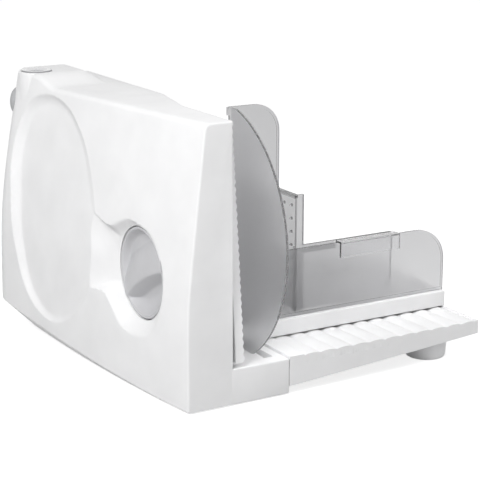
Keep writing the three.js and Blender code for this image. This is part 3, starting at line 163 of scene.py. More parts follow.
def outer_face(y, z):
    face = plain_face(y, z)
    x = face
    out_y, out_z = y - DISH[0], z - DISH[1]
    angle = math.atan2(out_z, out_y)
    rim = dish_reach(angle)
    share = math.hypot(out_y, out_z) / rim
    if share < 1:
        far_share = (share * math.cos(angle - DISH_TURN) + 1) / 2
        deep = DISH_LEAST + DISH_FAR * far_share ** DISH_FAR_CURVE + DISH_BOWL * (1 - share * share)
        climb = min(1.0, (1 - share) * rim / mix(*DISH_CLIMB, max(0.0, math.sin(angle))))
        x += deep * (1 - (1 - climb) ** 2)
    out_y, out_z = y - KNOB[0], z - KNOB[1]
    from_knob = math.hypot(out_y, out_z)
    edge = funnel_reach(math.atan2(out_z, out_y))
    if from_knob < edge:
        share = max(0.0, (from_knob - WELL_R) / (edge - WELL_R))
        x = max(x, mix(WELL_RIM, face, share))
    return x


def body_section(y, inset, fine):
    share = y / DEPTH
    round_r = FAR_ROUND - inset
    past = min(1.0, max(0.0, y - (DEPTH - FAR_ROUND)) / round_r)
    tuck_in = round_r * (1 - math.sqrt(1 - past * past))
    near = max(0.0, NEAR_EDGE - y) / NEAR_EDGE if inset == 0 else 0.0
    pull = NEAR_EDGE * (1 - math.sqrt(1 - near * near)) + inset
    far = max(0.0, y - (DEPTH - FAR_EDGE)) / FAR_EDGE if inset == 0 else 0.0
    drop = pull + FAR_EDGE * (1 - math.sqrt(max(0.0, 1 - far * far)))
    rise = PLATFORM * ease(y, DEPTH - PLATFORM_LENGTH, DEPTH - PLATFORM_LENGTH + PLATFORM_RAMP)
    high = TOP + rise - drop
    tuck = mix(*TUCK, share ** TUCK_CURVE)
    edge_r = SHOULDER_R if inset == 0 else CORE_SHOULDER_R
    foot = FLOOR if inset == 0 else FLOOR - 1.0
    points = []
    for step in range(TUCK_STEPS):
        x = outer_face(y, foot + tuck) + tuck * (1 - step / TUCK_STEPS) + pull + tuck_in
        points.append((x, foot + tuck * step / TUCK_STEPS))
    for step in range(fine + 1):
        z = mix(foot + tuck, high - edge_r, step / fine)
        points.append((outer_face(y, z) + pull + tuck_in, z))
    shoulder = points[-1][0]
    for step in range(1, 7):
        turn = step / 6 * math.pi / 2
        points.append((shoulder + edge_r * (1 - math.cos(turn)), high - edge_r * (1 - math.sin(turn))))
    right = -pull if inset == 0 else CORE_RIGHT
    ledge = min(right - 1.0, PLATFORM_EDGE + PLATFORM_EDGE_SHIFT * (1 - rise / PLATFORM))
    ledge = max(ledge, shoulder + edge_r + 0.5)
    for step in range(1, 5):
        points.append((mix(shoulder + edge_r, ledge, step / 4), high))
    for step in range(1, 4):
        points.append((mix(ledge, right, step / 3), mix(high, TOP - drop, ease(step, 0, 3))))
    points.append((right, foot))
    return [at(x, y, z) for x, z in points]


def only(piece):
    bpy.ops.object.select_all(action="DESELECT")
    piece.select_set(True)
    bpy.context.view_layer.objects.active = piece


def loft(name, rows):
    along, around = len(rows), len(rows[0])
    bpy.ops.object.select_all(action="DESELECT")
    bpy.ops.mesh.primitive_grid_add(x_subdivisions=around, y_subdivisions=along - 1, size=1)
    piece = bpy.context.object
    piece.name = name
    for vertex in piece.data.vertices:
        column = round((vertex.co.x + 0.5) * around) % around
        row = round((vertex.co.y + 0.5) * (along - 1))
        vertex.co = rows[row][column]
    bpy.ops.object.mode_set(mode="EDIT")
    bpy.ops.mesh.select_all(action="SELECT")
    bpy.ops.mesh.remove_doubles(threshold=0.000002)
    bpy.ops.mesh.select_all(action="DESELECT")
    bpy.ops.mesh.select_non_manifold()
    bpy.ops.mesh.edge_face_add()
    bpy.ops.mesh.select_all(action="SELECT")
    bpy.ops.mesh.normals_make_consistent(inside=False)
    bpy.ops.object.mode_set(mode="OBJECT")
    return piece


def modify(piece, kind, **settings):
    only(piece)
    modifier = piece.modifiers.new(kind, kind)
    for key, value in settings.items():
        setattr(modifier, key, value)
    bpy.ops.object.modifier_apply(modifier=modifier.name)


def combine(piece, tool, operation):
    modify(piece, "BOOLEAN", object=tool, operation=operation, solver="MANIFOLD")
    bpy.data.objects.remove(tool)


def box(name, low, high):
    low, high = at(*low), at(*high)
    bpy.ops.object.select_all(action="DESELECT")
    bpy.ops.mesh.primitive_cube_add(size=1, location=(low + high) / 2)
    piece = bpy.context.object
    piece.name = name
    piece.scale = high - low
    bpy.ops.object.transform_apply(location=True, rotation=True, scale=True)
    return piece


def bar(name, axis, radius, start, end, u, v, sides=48):
    half_way = (start + end) / 2
    middle = {"X": (half_way, u, v), "Y": (u, half_way, v), "Z": (u, v, half_way)}[axis]
    turn = {"X": (0, math.pi / 2, 0), "Y": (math.pi / 2, 0, 0), "Z": (0, 0, 0)}[axis]
    bpy.ops.object.select_all(action="DESELECT")
    bpy.ops.mesh.primitive_cylinder_add(
        vertices=sides, radius=radius * MM, depth=abs(end - start) * MM, location=at(*middle), rotation=turn)
    piece = bpy.context.object
    piece.name = name
    bpy.ops.object.transform_apply(location=True, rotation=True, scale=True)
    return piece


def rows_along(start, end, round_r, spacing):
    straight = end - round_r
    count = max(2, round((straight - start) / spacing))
    rows = [mix(start, straight, i / count) for i in range(count + 1)]
    turns = max(4, round(round_r * math.pi / 2 / spacing))
    return rows + [straight + round_r * math.sin(i / turns * math.pi / 2) for i in range(1, turns + 1)]


near_rows = [NEAR_EDGE * (1 - math.cos(i / 5 * math.pi / 2)) for i in range(5)]
skin_rows = near_rows + rows_along(NEAR_EDGE, DEPTH, FAR_ROUND, 1.15)
housing = loft("housing", [body_section(y, 0, 172) for y in skin_rows])
boss = bar("button_boss", "Z", 14.2, 172, TOP + PLATFORM, *BUTTON, 96)
modify(boss, "BEVEL", width=1.0 * MM, segments=4, limit_method="ANGLE")
combine(housing, boss, "UNION")
core_rows = rows_along(WALL, DEPTH - WALL, FAR_ROUND - WALL, 6)
core = loft("core", [body_section(y, WALL, 34) for y in core_rows])
combine(core, bar("well_wall", "X", WELL_R + WALL, OUTSIDE, WELL_FLOOR + WALL, *KNOB), "DIFFERENCE")
combine(housing, core, "DIFFERENCE")
step = box("step", (-WALL, 0, STEP_LOW), (STEP_RIGHT, DEPTH, STEP_TOP))
modify(step, "BEVEL", width=1.2 * MM, segments=4, limit_method="ANGLE")
combine(housing, step, "UNION")
hood = box("hood", (-7.5, HOOD_FULL, STEP_TOP - 1), (HOOD_REACH, DEPTH, TOP))
bpy.ops.object.mode_set(mode="EDIT")
bpy.ops.mesh.select_mode(type="FACE")
bpy.ops.mesh.select_all(action="DESELECT")
bpy.ops.object.mode_set(mode="OBJECT")
for face in hood.data.polygons:
    face.select = face.normal.y < -0.9
bpy.ops.object.mode_set(mode="EDIT")
bpy.ops.mesh.extrude_region_move(TRANSFORM_OT_translate={"value": (0, -HOOD_RAMP * MM, 0)})
bpy.ops.mesh.select_mode(type="VERT")
bpy.ops.object.mode_set(mode="OBJECT")
for vertex in hood.data.vertices:
    if vertex.co.x > at(0, 0, 0).x and vertex.co.y < at(0, HOOD_FULL - 1, 0).y:
        vertex.co.x = at(HOOD_START, 0, 0).x
modify(hood, "BEVEL", width=4.5 * MM, segments=6, limit_method="ANGLE", angle_limit=1.2)
combine(hood, bar("mouth", "X", MOUTH_R, HOOD_IN, HOOD_OUT, *BLADE, 96), "DIFFERENCE")
combine(hood, box("drop", (HOOD_IN, 50, 20), (HOOD_OUT, *BLADE)), "DIFFERENCE")
combine(hood, box("stop_room", (HOOD_IN, 50, 20), (HOOD_OUT, 90, 197.8)), "DIFFERENCE")
combine(hood, box("drop_far", (HOOD_IN, 60, 20), (HOOD_OUT, 221, 49)), "DIFFERENCE")
combine(housing, hood, "UNION")
combine(housing, box("window", (-8, WALL, 29.5), (0.3, DEPTH - WALL, TOP - WALL)), "DIFFERENCE")
step_core = box("step_core", (-6, WALL, 0), (STEP_RIGHT - WALL, DEPTH - WALL, STEP_TOP - WALL))
combine(housing, step_core, "DIFFERENCE")
combine(housing, box("groove_wall", (28.5, 1, 16), (40.5, DEPTH - 1, 26)), "UNION")
for cutter in (
    bar("well", "X", WELL_R, OUTSIDE, WELL_FLOOR, *KNOB, 128),
    bar("spindle", "X", 6.3, -40, -12, *KNOB, 32),
    box("groove", (31, 10, 18.5), (38, 253, 28)),
    box("blade_slot", (18.4, 134, 23.5), (23.5, 186, 28)),
    bar("button_hole", "Z", BUTTON_HOLE_R, 196, 215, *BUTTON, 96),
    bar("button_seat", "Z", 12.4, 199.7, 205.5, *BUTTON, 96),
    bar("gland_hole", "Y", 5.3, 250, 262, -30, 30, 32),
):
    combine(housing, cutter, "DIFFERENCE")
bpy.ops.object.select_all(action="DESELECT")
safety_out = Vector((-math.sqrt(0.5), math.sqrt(0.5), 0))
safety_low, safety_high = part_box("safety_button")
safety_middle = (Vector(safety_low) + Vector(safety_high)) / 2
bpy.ops.mesh.primitive_cylinder_add(
    vertices=96, radius=BUTTON_HOLE_R * MM, depth=40 * MM, location=safety_middle,
    rotation=(math.pi / 2, 0, math.pi / 4))
combine(housing, bpy.context.object, "DIFFERENCE")


def finish_mesh(piece, degrees=35):
    only(piece)
    bpy.ops.object.shade_smooth_by_angle(angle=math.radians(degrees))


finish_mesh(housing, 30)


def dress(piece, *finishes):
    piece.data.materials.clear()
    for finish in finishes:
        piece.data.materials.append(finish)
    piece.data.polygons.foreach_set("material_index", [0] * len(piece.data.polygons))


def new_material(name):
    material = bpy.data.materials.new(name)
    material.use_nodes = True
    return material, material.node_tree.nodes, material.node_tree.links


def mottle(material, scale, low, high, detail=3.0):
    nodes, links = material.node_tree.nodes, material.node_tree.links
    place = nodes.new("ShaderNodeTexCoord")
    noise = nodes.new("ShaderNodeTexNoise")
    noise.inputs["Scale"].default_value = scale
    noise.inputs["Detail"].default_value = detail
    ramp = nodes.new("ShaderNodeValToRGB")
    ramp.color_ramp.elements[0].position = 0.3
    ramp.color_ramp.elements[1].position = 0.7
    ramp.color_ramp.elements[0].color = (*low, 1)
    ramp.color_ramp.elements[1].color = (*high, 1)
    links.new(place.outputs["Object"], noise.inputs["Vector"])
    links.new(noise.outputs["Fac"], ramp.inputs["Fac"])
    return ramp.outputs["Color"]


def grain_bump(material, scale, strength, distance):
    nodes, links = material.node_tree.nodes, material.node_tree.links
    place = nodes.new("ShaderNodeTexCoord")
    noise = nodes.new("ShaderNodeTexNoise")
    noise.inputs["Scale"].default_value = scale
    noise.inputs["Detail"].default_value = 4
    bump = nodes.new("ShaderNodeBump")
    bump.inputs["Strength"].default_value = strength
    bump.inputs["Distance"].default_value = distance
    links.new(place.outputs["Object"], noise.inputs["Vector"])
    links.new(noise.outputs["Fac"], bump.inputs["Height"])
    return bump.outputs["Normal"]


def moulded(name, colour, roughness, grain=1400, grain_strength=0.12, spread=0.02, gloss=0.5, metal=0.0):
    material, nodes, links = new_material(name)
    shader = nodes["Principled BSDF"]
    shader.inputs["Specular IOR Level"].default_value = gloss
    shader.inputs["Metallic"].default_value = metal
    low = [max(0.0, c - spread) for c in colour]
    high = [min(1.0, c + spread) for c in colour]
    links.new(mottle(material, 38, low, high), shader.inputs["Base Color"])
    rough_low, rough_high = [roughness - 0.05] * 3, [roughness + 0.05] * 3
    links.new(mottle(material, 220, rough_low, rough_high), shader.inputs["Roughness"])
    links.new(grain_bump(material, grain, grain_strength, 0.00004), shader.inputs["Normal"])
    return material


white_plastic = moulded("white_satin_plastic", (0.84, 0.84, 0.845), 0.5, gloss=0.15)
dress(housing, white_plastic)
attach(housing, "body")
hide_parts("housing_shell")

# Thickness knob
# A round silver-painted ABS knob sunk in the funnel and pushed on the adjusting screw. Its cup has a
# thin rim and a wedge grip across it, gentle above for the thumb and steep below for the fingers.
KNOB_R = 33.0
KNOB_BACK = -26.0
CUP_FLOOR = 6.6
CUP_R = 31
GRIP_TILT = -30
CREST = 14.5
CREST_FALL = 1.7
CREST_SHIFT = 5
CREST_BOW = 3.5
THUMB_CURVE = 0.0136
FINGER_SLOPE = 1.3


def turned(name, profile, steps):
    bpy.ops.object.select_all(action="DESELECT")
    bpy.ops.mesh.primitive_plane_add(size=0.001)
    piece = bpy.context.object
    piece.name = name
    bpy.ops.object.mode_set(mode="EDIT")
    bpy.ops.mesh.select_all(action="SELECT")
    bpy.ops.mesh.merge(type="CENTER")
    chain = [Vector((r, 0, h)) * MM for r, h in profile]
    bpy.ops.transform.translate(value=chain[0])
    for a, b in zip(chain, chain[1:]):
        bpy.ops.mesh.extrude_region_move(TRANSFORM_OT_translate={"value": b - a})
    bpy.ops.mesh.select_all(action="SELECT")
    bpy.ops.mesh.spin(steps=steps, angle=2 * math.pi, center=(0, 0, 0), axis=(0, 0, 1))
    bpy.ops.mesh.select_all(action="SELECT")
    bpy.ops.mesh.remove_doubles(threshold=0.000002)
    bpy.ops.mesh.normals_make_consistent(inside=False)
    bpy.ops.object.mode_set(mode="OBJECT")
    return piece


def put(piece, x, y, z, turn=(0, 0, 0)):
    only(piece)
    piece.rotation_euler = turn
    piece.location = at(x, y, z)
    bpy.ops.object.transform_apply(location=True, rotation=True, scale=True)


cup = [(0.5 * i, CUP_FLOOR) for i in range(55)]
cup += [
    (27.4, 6.8), (27.8, 7.1), (28.3, 7.6), (28.8, 8.3), (29.3, 9.1), (29.8, 9.9), (30.3, 10.7),
    (30.8, 11.4), (31.3, 11.8), (31.8, 11.95), (32.3, 11.9), (32.7, 11.5), (KNOB_R, 10.8),
    (KNOB_R, 0.6), (32.6, 0.0), (0.0, 0.0),
]
knob = turned("knob", cup, 288)
tilt = math.radians(GRIP_TILT)
for vertex in knob.data.vertices:
    out = math.hypot(vertex.co.x, vertex.co.y) / MM
    height = vertex.co.z / MM
    if height < 2.0 or out > 32.8:
        continue
    y, z = vertex.co.y / MM, vertex.co.x / MM
    across = y * -math.sin(tilt) + z * math.cos(tilt)
    along = (y * math.cos(tilt) + z * math.sin(tilt)) / CUP_R
    crest = CREST - CREST_FALL * along * along
    run = across + CREST_SHIFT + CREST_BOW * along * along
    gentle = crest - THUMB_CURVE * max(0.0, run) ** 2
    steep = crest + FINGER_SLOPE * run
    ridge = -soft_max(-gentle, -steep, 0.9)
    scoop = soft_max(2.8 + 9.0 * (out / 31.5) ** 5, 4.9 + 0.3 * (run + 7.6), 0.8)
    ground = mix(height, scoop, ease(-run, 1, 5)) if out < CUP_R else height
    vertex.co.z = soft_max(ground, ridge, 0.7) * MM
put(knob, KNOB_BACK, *KNOB, (0, -math.pi / 2, 0))
combine(knob, bar("neck_hole", "X", 4.3, -31.8, -20, *KNOB, 32), "DIFFERENCE")
finish_mesh(knob, 40)
silver_paint = moulded("silver_paint", (0.53, 0.53, 0.545), 0.42, 2600, 0.08, 0.012, 0.3, metal=0.1)
dress(knob, silver_paint)
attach(knob, "knob")
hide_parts("thickness_knob")

# Start button
# A dished push button moulded in grained grey ABS, with a bright plated ring. It slides in the hole of
# the raised switch platform on a spring. Its outer wall below the ring is dark grey, painted shade for
# the shadowed gap round the button.
RING_IN = 6.4
RING_OUT = 11.0
button = turned("start_button", [
    (0.0, 10.6), (3.5, 10.7), (6.0, 11.0), (6.6, 11.4), (7.4, 12.1), (8.4, 12.7), (9.4, 12.95), (10.3, 12.85),
    (11.0, 12.5), (11.4, 11.8), (11.5, 10.8), (11.5, 8.9), (12.1, 8.7), (12.1, 6.7), (3.0, 6.7), (3.0, 0.0),
    (0.0, 0.0)], 96)
put(button, *BUTTON, 196.3)
finish_mesh(button, 40)
plated = moulded("bright_plating", (0.72, 0.72, 0.73), 0.2, 2600, 0.03, 0.01, metal=0.9)
grey_plastic = moulded("grey_grained_plastic", (0.40, 0.405, 0.415), 0.45, 1800, 0.2)
# The skirt's dark grey is painted shade: it stands in for the shadow in the gap round the button.
skirt_painted_shade = moulded("button_skirt_painted_shade", (0.24, 0.24, 0.25), 0.45, 1800, 0.2, 0.01)
dress(button, grey_plastic, plated, skirt_painted_shade)
ring_middle = at(*BUTTON, 0)
for face in button.data.polygons:
    from_middle = math.hypot(face.center.x - ring_middle.x, face.center.y - ring_middle.y)
    # Faces outside the plated ring take the skirt's painted shade.
    face.material_index = 0 if from_middle < RING_IN * MM else 1 if from_middle < RING_OUT * MM else 2
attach(button, "on_button")
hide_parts("on_button")

# Safety button
# A domed lock button of grey plastic in the rounded far corner, pressed in before the start button.
# It slides in its bore on a spring.
safety = turned("lock_button", [
    (0.0, 17.9), (3.0, 17.8), (6.2, 17.2), (8.8, 16.2), (10.4, 14.9), (11.2, 13.6), (11.5, 12.0), (11.5, 6.3),
    (13.0, 6.2), (13.0, 4.2), (3.0, 4.2), (3.0, -1.0), (0.0, -1.0)], 96)
only(safety)
safety.rotation_euler = (-math.pi / 2, 0, math.pi / 4)
bpy.ops.object.transform_apply(location=True, rotation=True, scale=True)
cad_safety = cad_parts["safety_button"]
far_reach = max(safety_out.dot(cad_safety.matrix_world @ v.co) for v in cad_safety.data.vertices)
own_reach = max(safety_out.dot(v.co) for v in safety.data.vertices)
off_axis = safety_middle - safety_out * safety_out.dot(safety_middle)
safety.location = off_axis + safety_out * (far_reach - own_reach)
bpy.ops.object.transform_apply(location=True, rotation=True, scale=True)
finish_mesh(safety, 40)
dress(safety, grey_plastic)
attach(safety, "safety_button")
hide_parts("safety_button")

# Button springs
# Two coil springs of drawn steel wire, three turns each, between the switch and the buttons' flanges.
# On the slicer they close up by the buttons' travel and push them out again; here they keep their rest
# length.
WIRE = 1.0
COIL_R = 5.0
COIL_TURNS = 3
LOCK_DEPTH = 21.9
plain_steel = moulded("plain_steel", (0.55, 0.56, 0.57), 0.34, 2200, 0.08, 0.03, metal=1.0)


def coil(name, length):
    bpy.ops.object.select_all(action="DESELECT")
    bpy.ops.mesh.primitive_circle_add(
        vertices=10, radius=WIRE / 2 * MM, location=(COIL_R * MM, 0, WIRE / 2 * MM),
        rotation=(math.pi / 2, 0, 0))
    spring = bpy.context.object
    spring.name = name
    bpy.ops.object.transform_apply(location=True, rotation=True, scale=True)
    modify(spring, "SCREW", axis="Z", iterations=COIL_TURNS, steps=24, render_steps=24,
           screw_offset=(length - WIRE) / COIL_TURNS * MM)
    bpy.ops.object.mode_set(mode="EDIT")
    bpy.ops.mesh.select_all(action="SELECT")
    bpy.ops.mesh.fill_holes(sides=0)
    bpy.ops.mesh.normals_make_consistent(inside=False)
    bpy.ops.object.mode_set(mode="OBJECT")
    finish_mesh(spring, 50)
    dress(spring, plain_steel)
    return spring


start_spring = coil("start_spring", 9.3)
put(start_spring, *BUTTON, 193.4)
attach(start_spring, "body")
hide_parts("on_button_spring")
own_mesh(start_spring)
lock_spring = coil("lock_spring", 7.8)
only(lock_spring)
lock_seat = safety_middle + safety_out * (far_reach - LOCK_DEPTH * MM - safety_out.dot(safety_middle))
lock_spring.rotation_euler = (-math.pi / 2, 0, math.pi / 4)
lock_spring.location = lock_seat
bpy.ops.object.transform_apply(location=True, rotation=True, scale=True)
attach(lock_spring, "body")
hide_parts("safety_button_spring")
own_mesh(lock_spring)

# Stop plate
# The white ribbed plate that the food slides along before it meets the blade, moulded in ABS. It is
# screwed to two guide rods, and its ribs run along the cut so that wet food doesn't stick.
RIB = 5.6
RIB_STEPS = 8
RIB_VALLEY = 8.6
RIB_HEIGHT = 0.9
STOP_NEAR = 1
STOP_FAR = 86
STOP_LOW = 30.5
STOP_HIGH = 197
STOP_LEAN = 0.096
bpy.ops.object.select_all(action="DESELECT")
stop_rows = round((STOP_HIGH - STOP_LOW) / RIB * RIB_STEPS)
bpy.ops.mesh.primitive_grid_add(x_subdivisions=4, y_subdivisions=stop_rows, size=1)
stop = bpy.context.object
stop.name = "stop_plate"
for vertex in stop.data.vertices:
    y = mix(STOP_NEAR, STOP_FAR, vertex.co.x + 0.5)
    z = mix(STOP_LOW, STOP_HIGH, vertex.co.y + 0.5)
    wave = 0.5 - 0.5 * math.cos((z - STOP_LOW) / RIB * 2 * math.pi)
    vertex.co = at(RIB_VALLEY + RIB_HEIGHT * wave ** 0.8, y, z)
bpy.ops.object.mode_set(mode="EDIT")
bpy.ops.mesh.select_all(action="SELECT")
bpy.ops.mesh.extrude_region_move(TRANSFORM_OT_translate={"value": (-8 * MM, 0, 0)})
bpy.ops.mesh.select_all(action="SELECT")
bpy.ops.mesh.normals_make_consistent(inside=False)
bpy.ops.object.mode_set(mode="OBJECT")
combine(stop, box("stop_back", (-10, -10, 0), (2.7, 100, 300)), "DIFFERENCE")
combine(stop, bar("blade_clear", "X", 88, -10, 30, *BLADE, 128), "DIFFERENCE")
lean = box("near_lean", (-10, -60, 20), (30, STOP_NEAR, 210))
for vertex in lean.data.vertices:
    vertex.co.y += STOP_LEAN * (vertex.co.z - STOP_LOW * MM)
combine(stop, lean, "DIFFERENCE")
finish_mesh(stop, 40)
dress(stop, white_plastic)
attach(stop, "stop")
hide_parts("stop_plate")

# Tray
# The ribbed table to the right of the base, a white ABS moulding open underneath, held to the base
# step by three screws. Rounded ribs run the way the carriage slides.
RIB_PITCH = 14.1
RIB_COUNT = 11
TRAY_LEFT = 46.15
TRAY_RIGHT = 215.0
TRAY_RIM = 2
TRAY_DEPTH = 240
TRAY_TOP = 28.2
TRAY_CORE_TOP = 24
TRAY_SKIRT = 17.7
first_rib = TRAY_RIGHT - TRAY_RIM - RIB_COUNT * RIB_PITCH
tray = box("tray", (TRAY_LEFT, 0, 6), (TRAY_RIGHT, TRAY_DEPTH, TRAY_CORE_TOP))
for vertex in tray.data.vertices:
    if vertex.co.z < 0.015 and vertex.co.x > 0:
        vertex.co.z = TRAY_SKIRT * MM
bpy.ops.object.select_all(action="DESELECT")
bpy.ops.mesh.primitive_grid_add(x_subdivisions=288, y_subdivisions=24, size=1)
top = bpy.context.object
for vertex in top.data.vertices:
    x = mix(TRAY_LEFT, TRAY_RIGHT, vertex.co.x + 0.5)
    phase = (x - first_rib) / RIB_PITCH
    ribbed = phase > 0 and x < TRAY_RIGHT - TRAY_RIM
    wave = 0.5 - 0.5 * math.cos(phase * 2 * math.pi) if ribbed else 1.0
    y = mix(0, TRAY_DEPTH, vertex.co.y + 0.5)
    vertex.co = at(x, y, TRAY_TOP - mix(1.1, 2.2, ease(y, 0, 60)) * (1 - wave ** 0.35))
bpy.ops.object.mode_set(mode="EDIT")
bpy.ops.mesh.select_all(action="SELECT")
bpy.ops.mesh.extrude_region_move(TRANSFORM_OT_translate={"value": (0, 0, -6 * MM)})
bpy.ops.mesh.select_all(action="SELECT")
bpy.ops.mesh.normals_make_consistent(inside=False)
bpy.ops.object.mode_set(mode="OBJECT")
combine(tray, top, "UNION")
core_low = (TRAY_LEFT + WALL, WALL, 0)
core_high = (TRAY_RIGHT - WALL, TRAY_DEPTH - WALL, TRAY_CORE_TOP)
combine(tray, box("tray_core", core_low, core_high), "DIFFERENCE")
tray_feet = [(182, 22), (182, 218)]
for x, y in tray_feet:
    combine(tray, bar("boss", "Z", 18, 16.3, 25, x, y), "UNION")
    combine(tray, bar("socket", "Z", 5.3, 0, 23.1, x, y), "DIFFERENCE")
modify(tray, "BEVEL", width=0.8 * MM, segments=3, limit_method="ANGLE", angle_limit=1.0)
finish_mesh(tray, 40)
dress(tray, white_plastic)
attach(tray, "body")
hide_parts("tray")

# Tray feet
# Two low round feet under the tray, turned-looking mouldings with a slight taper. Their colour is
# lighter than the housing's white, painted light that lifts the shade under the tray. A peg on each is
# pressed into a boss of the tray.
# Painted light: the feet's colour is raised above the housing's white to lift the shade under the tray.
feet_painted_light = moulded("foot_plastic_painted_light", (0.90, 0.90, 0.91), 0.45, 1800, 0.2)
for (x, y), foot_name in zip(tray_feet, ("tray_foot_front", "tray_foot_rear")):
    foot = turned(foot_name + "_visual", [
        (0.0, 0.0), (13.6, 0.0), (14.6, 0.3), (15.1, 1.0), (15.5, 4.0), (16.0, 9.0), (16.0, 15.4),
        (15.6, 16.0), (5.0, 16.0), (5.0, 22.5), (0.0, 22.5)], 96)
    put(foot, x, y, 0)
    finish_mesh(foot, 40)
    dress(foot, feet_painted_light)
    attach(foot, "body")
    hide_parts(foot_name)

# Carriage sled
# The white ABS table that carries the food past the blade, with a slot in which the clear guard is
# bonded. Its runner slides in the groove of the base step.
sled = box("sled", (26.8, 41, 28.8), (214.5, 165, 41))
combine(sled, box("sled_core", (29.3, 43.5, 20), (212, 162.5, 37)), "DIFFERENCE")
combine(sled, box("guard_slot", (20, 45.7, 39), (220, 48.8, 45)), "DIFFERENCE")
modify(sled, "BEVEL", width=1.0 * MM, segments=4, limit_method="ANGLE", angle_limit=1.0)
finish_mesh(sled, 40)
dress(sled, white_plastic)
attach(sled, "carriage")
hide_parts("carriage_table")

# Carriage guard
# The low wall, the thumb panel and the half disc in front of the blade, one moulding of smoke-tinted
# clear SAN about 2.5 mm thick. A slightly heavier rim runs round the panels, and the disc is frosted.
# The thin edge faces take a darker tint, painted shade for the sheet seen edge-on.
GUARD_LEFT = 24
GUARD_NEAR = 46
GUARD_FAR = 48.5
GUARD_BOTTOM = 39.3
GUARD_RIM = 2.2
WALL_RIGHT = 215.5
WALL_TOP = 91.4
WALL_CORNER = 26
THUMB_RIGHT = 64.5
THUMB_TOP = 201.5
THUMB_CORNER = 20
FIELD = (40, 46.5, 43)
DISC_R = 95
DISC = (66, 110)


def panel(name, x0, x1, y0, y1, z0, z1, corner):
    piece = box(name, (x0, y0, z0), (x1, y1, z1))
    bpy.ops.object.mode_set(mode="EDIT")
    bpy.ops.mesh.select_all(action="DESELECT")
    bpy.ops.object.mode_set(mode="OBJECT")
    for edge in piece.data.edges:
        ends = [piece.data.vertices[i].co for i in edge.vertices]
        edge.select = all(abs(p.x - at(x1, 0, 0).x) < 1e-5 and abs(p.z - z1 * MM) < 1e-5 for p in ends)
    bpy.ops.object.mode_set(mode="EDIT")
    bpy.ops.mesh.select_mode(type="EDGE")
    bpy.ops.mesh.bevel(offset=corner * MM, segments=14, affect="EDGES")
    bpy.ops.object.mode_set(mode="OBJECT")
    return piece


guard = panel("guard", GUARD_LEFT, WALL_RIGHT, GUARD_NEAR, GUARD_FAR, GUARD_BOTTOM, WALL_TOP, WALL_CORNER)
thumb = panel("thumb", GUARD_LEFT, THUMB_RIGHT, GUARD_NEAR, GUARD_FAR, 60, THUMB_TOP, THUMB_CORNER)
combine(guard, thumb, "UNION")
wall_field = panel(
    "wall_field", 66.5, WALL_RIGHT - GUARD_RIM, *FIELD, WALL_TOP - GUARD_RIM, WALL_CORNER - GUARD_RIM)
combine(guard, wall_field, "DIFFERENCE")
thumb_field = panel(
    "thumb_field", 28, THUMB_RIGHT - GUARD_RIM, *FIELD, THUMB_TOP - GUARD_RIM, THUMB_CORNER - GUARD_RIM)
combine(guard, thumb_field, "DIFFERENCE")
combine(guard, box("hook", (22.3, 46.2, 195.5), (25, 48.3, 201.2)), "UNION")
disc = bar("half_disc", "X", DISC_R, 24.1, 25.8, *DISC, 200)
combine(disc, box("beyond", (0, 48.2, 0), (60, 200, 300)), "DIFFERENCE")
combine(disc, box("below", (0, -100, 0), (60, 200, 29.5)), "DIFFERENCE")
combine(disc, box("above", (0, -100, 201), (60, 200, 300)), "DIFFERENCE")
combine(guard, disc, "UNION")
finish_mesh(guard, 40)


def smoked(name, tint, frost):
    material, nodes, links = new_material(name)
    shader = nodes["Principled BSDF"]
    low, high = [c - 0.02 for c in tint], [c + 0.02 for c in tint]
    links.new(mottle(material, 12, low, high), shader.inputs["Base Color"])
    links.new(mottle(material, 60, [frost - 0.02] * 3, [frost + 0.02] * 3), shader.inputs["Roughness"])
    path = nodes.new("ShaderNodeLightPath")
    light_through = nodes.new("ShaderNodeMath")
    light_through.operation = "MULTIPLY_ADD"
    light_through.inputs[1].default_value = -math.sqrt(tint[0])
    light_through.inputs[2].default_value = 1.0
    links.new(path.outputs["Is Shadow Ray"], light_through.inputs[0])
    links.new(light_through.outputs[0], shader.inputs["Alpha"])
    shader.inputs["Transmission Weight"].default_value = 1.0
    shader.inputs["IOR"].default_value = 1.3
    return material


# Gives thin faces, the edges of a sheet, a darker copy of the clear plastic: painted shade for the sheet seen
# edge-on.
def paint_edge_shade(piece, thin, edge_slot):
    for face in piece.data.polygons:
        corners = [piece.data.vertices[i].co for i in face.vertices]
        spans = sorted(max(c[k] for c in corners) - min(c[k] for c in corners) for k in range(3))
        if spans[1] < thin * MM:
            face.material_index = edge_slot


smoke = smoked("smoke_clear_plastic", (0.64, 0.64, 0.648), 0.36)
# The darker edge tint is painted shade, not a separate plastic.
smoke_edge_painted_shade = smoked("clear_edge_painted_shade", (0.32, 0.32, 0.325), 0.12)
smoke_frosted = smoked("smoke_frosted_plastic", (0.77, 0.77, 0.78), 0.45)
dress(guard, smoke, smoke_frosted, smoke_edge_painted_shade)
for face in guard.data.polygons:
    if face.center.y < at(0, 45.8, 0).y:
        face.material_index = 1
# Painted shade on the guard's thin edge faces.
paint_edge_shade(guard, 2.6, 2)
for face in guard.data.polygons:
    if face.center.x < at(GUARD_LEFT, 0, 0).x:
        face.material_index = 0
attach(guard, "carriage")
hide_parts("carriage_guard")

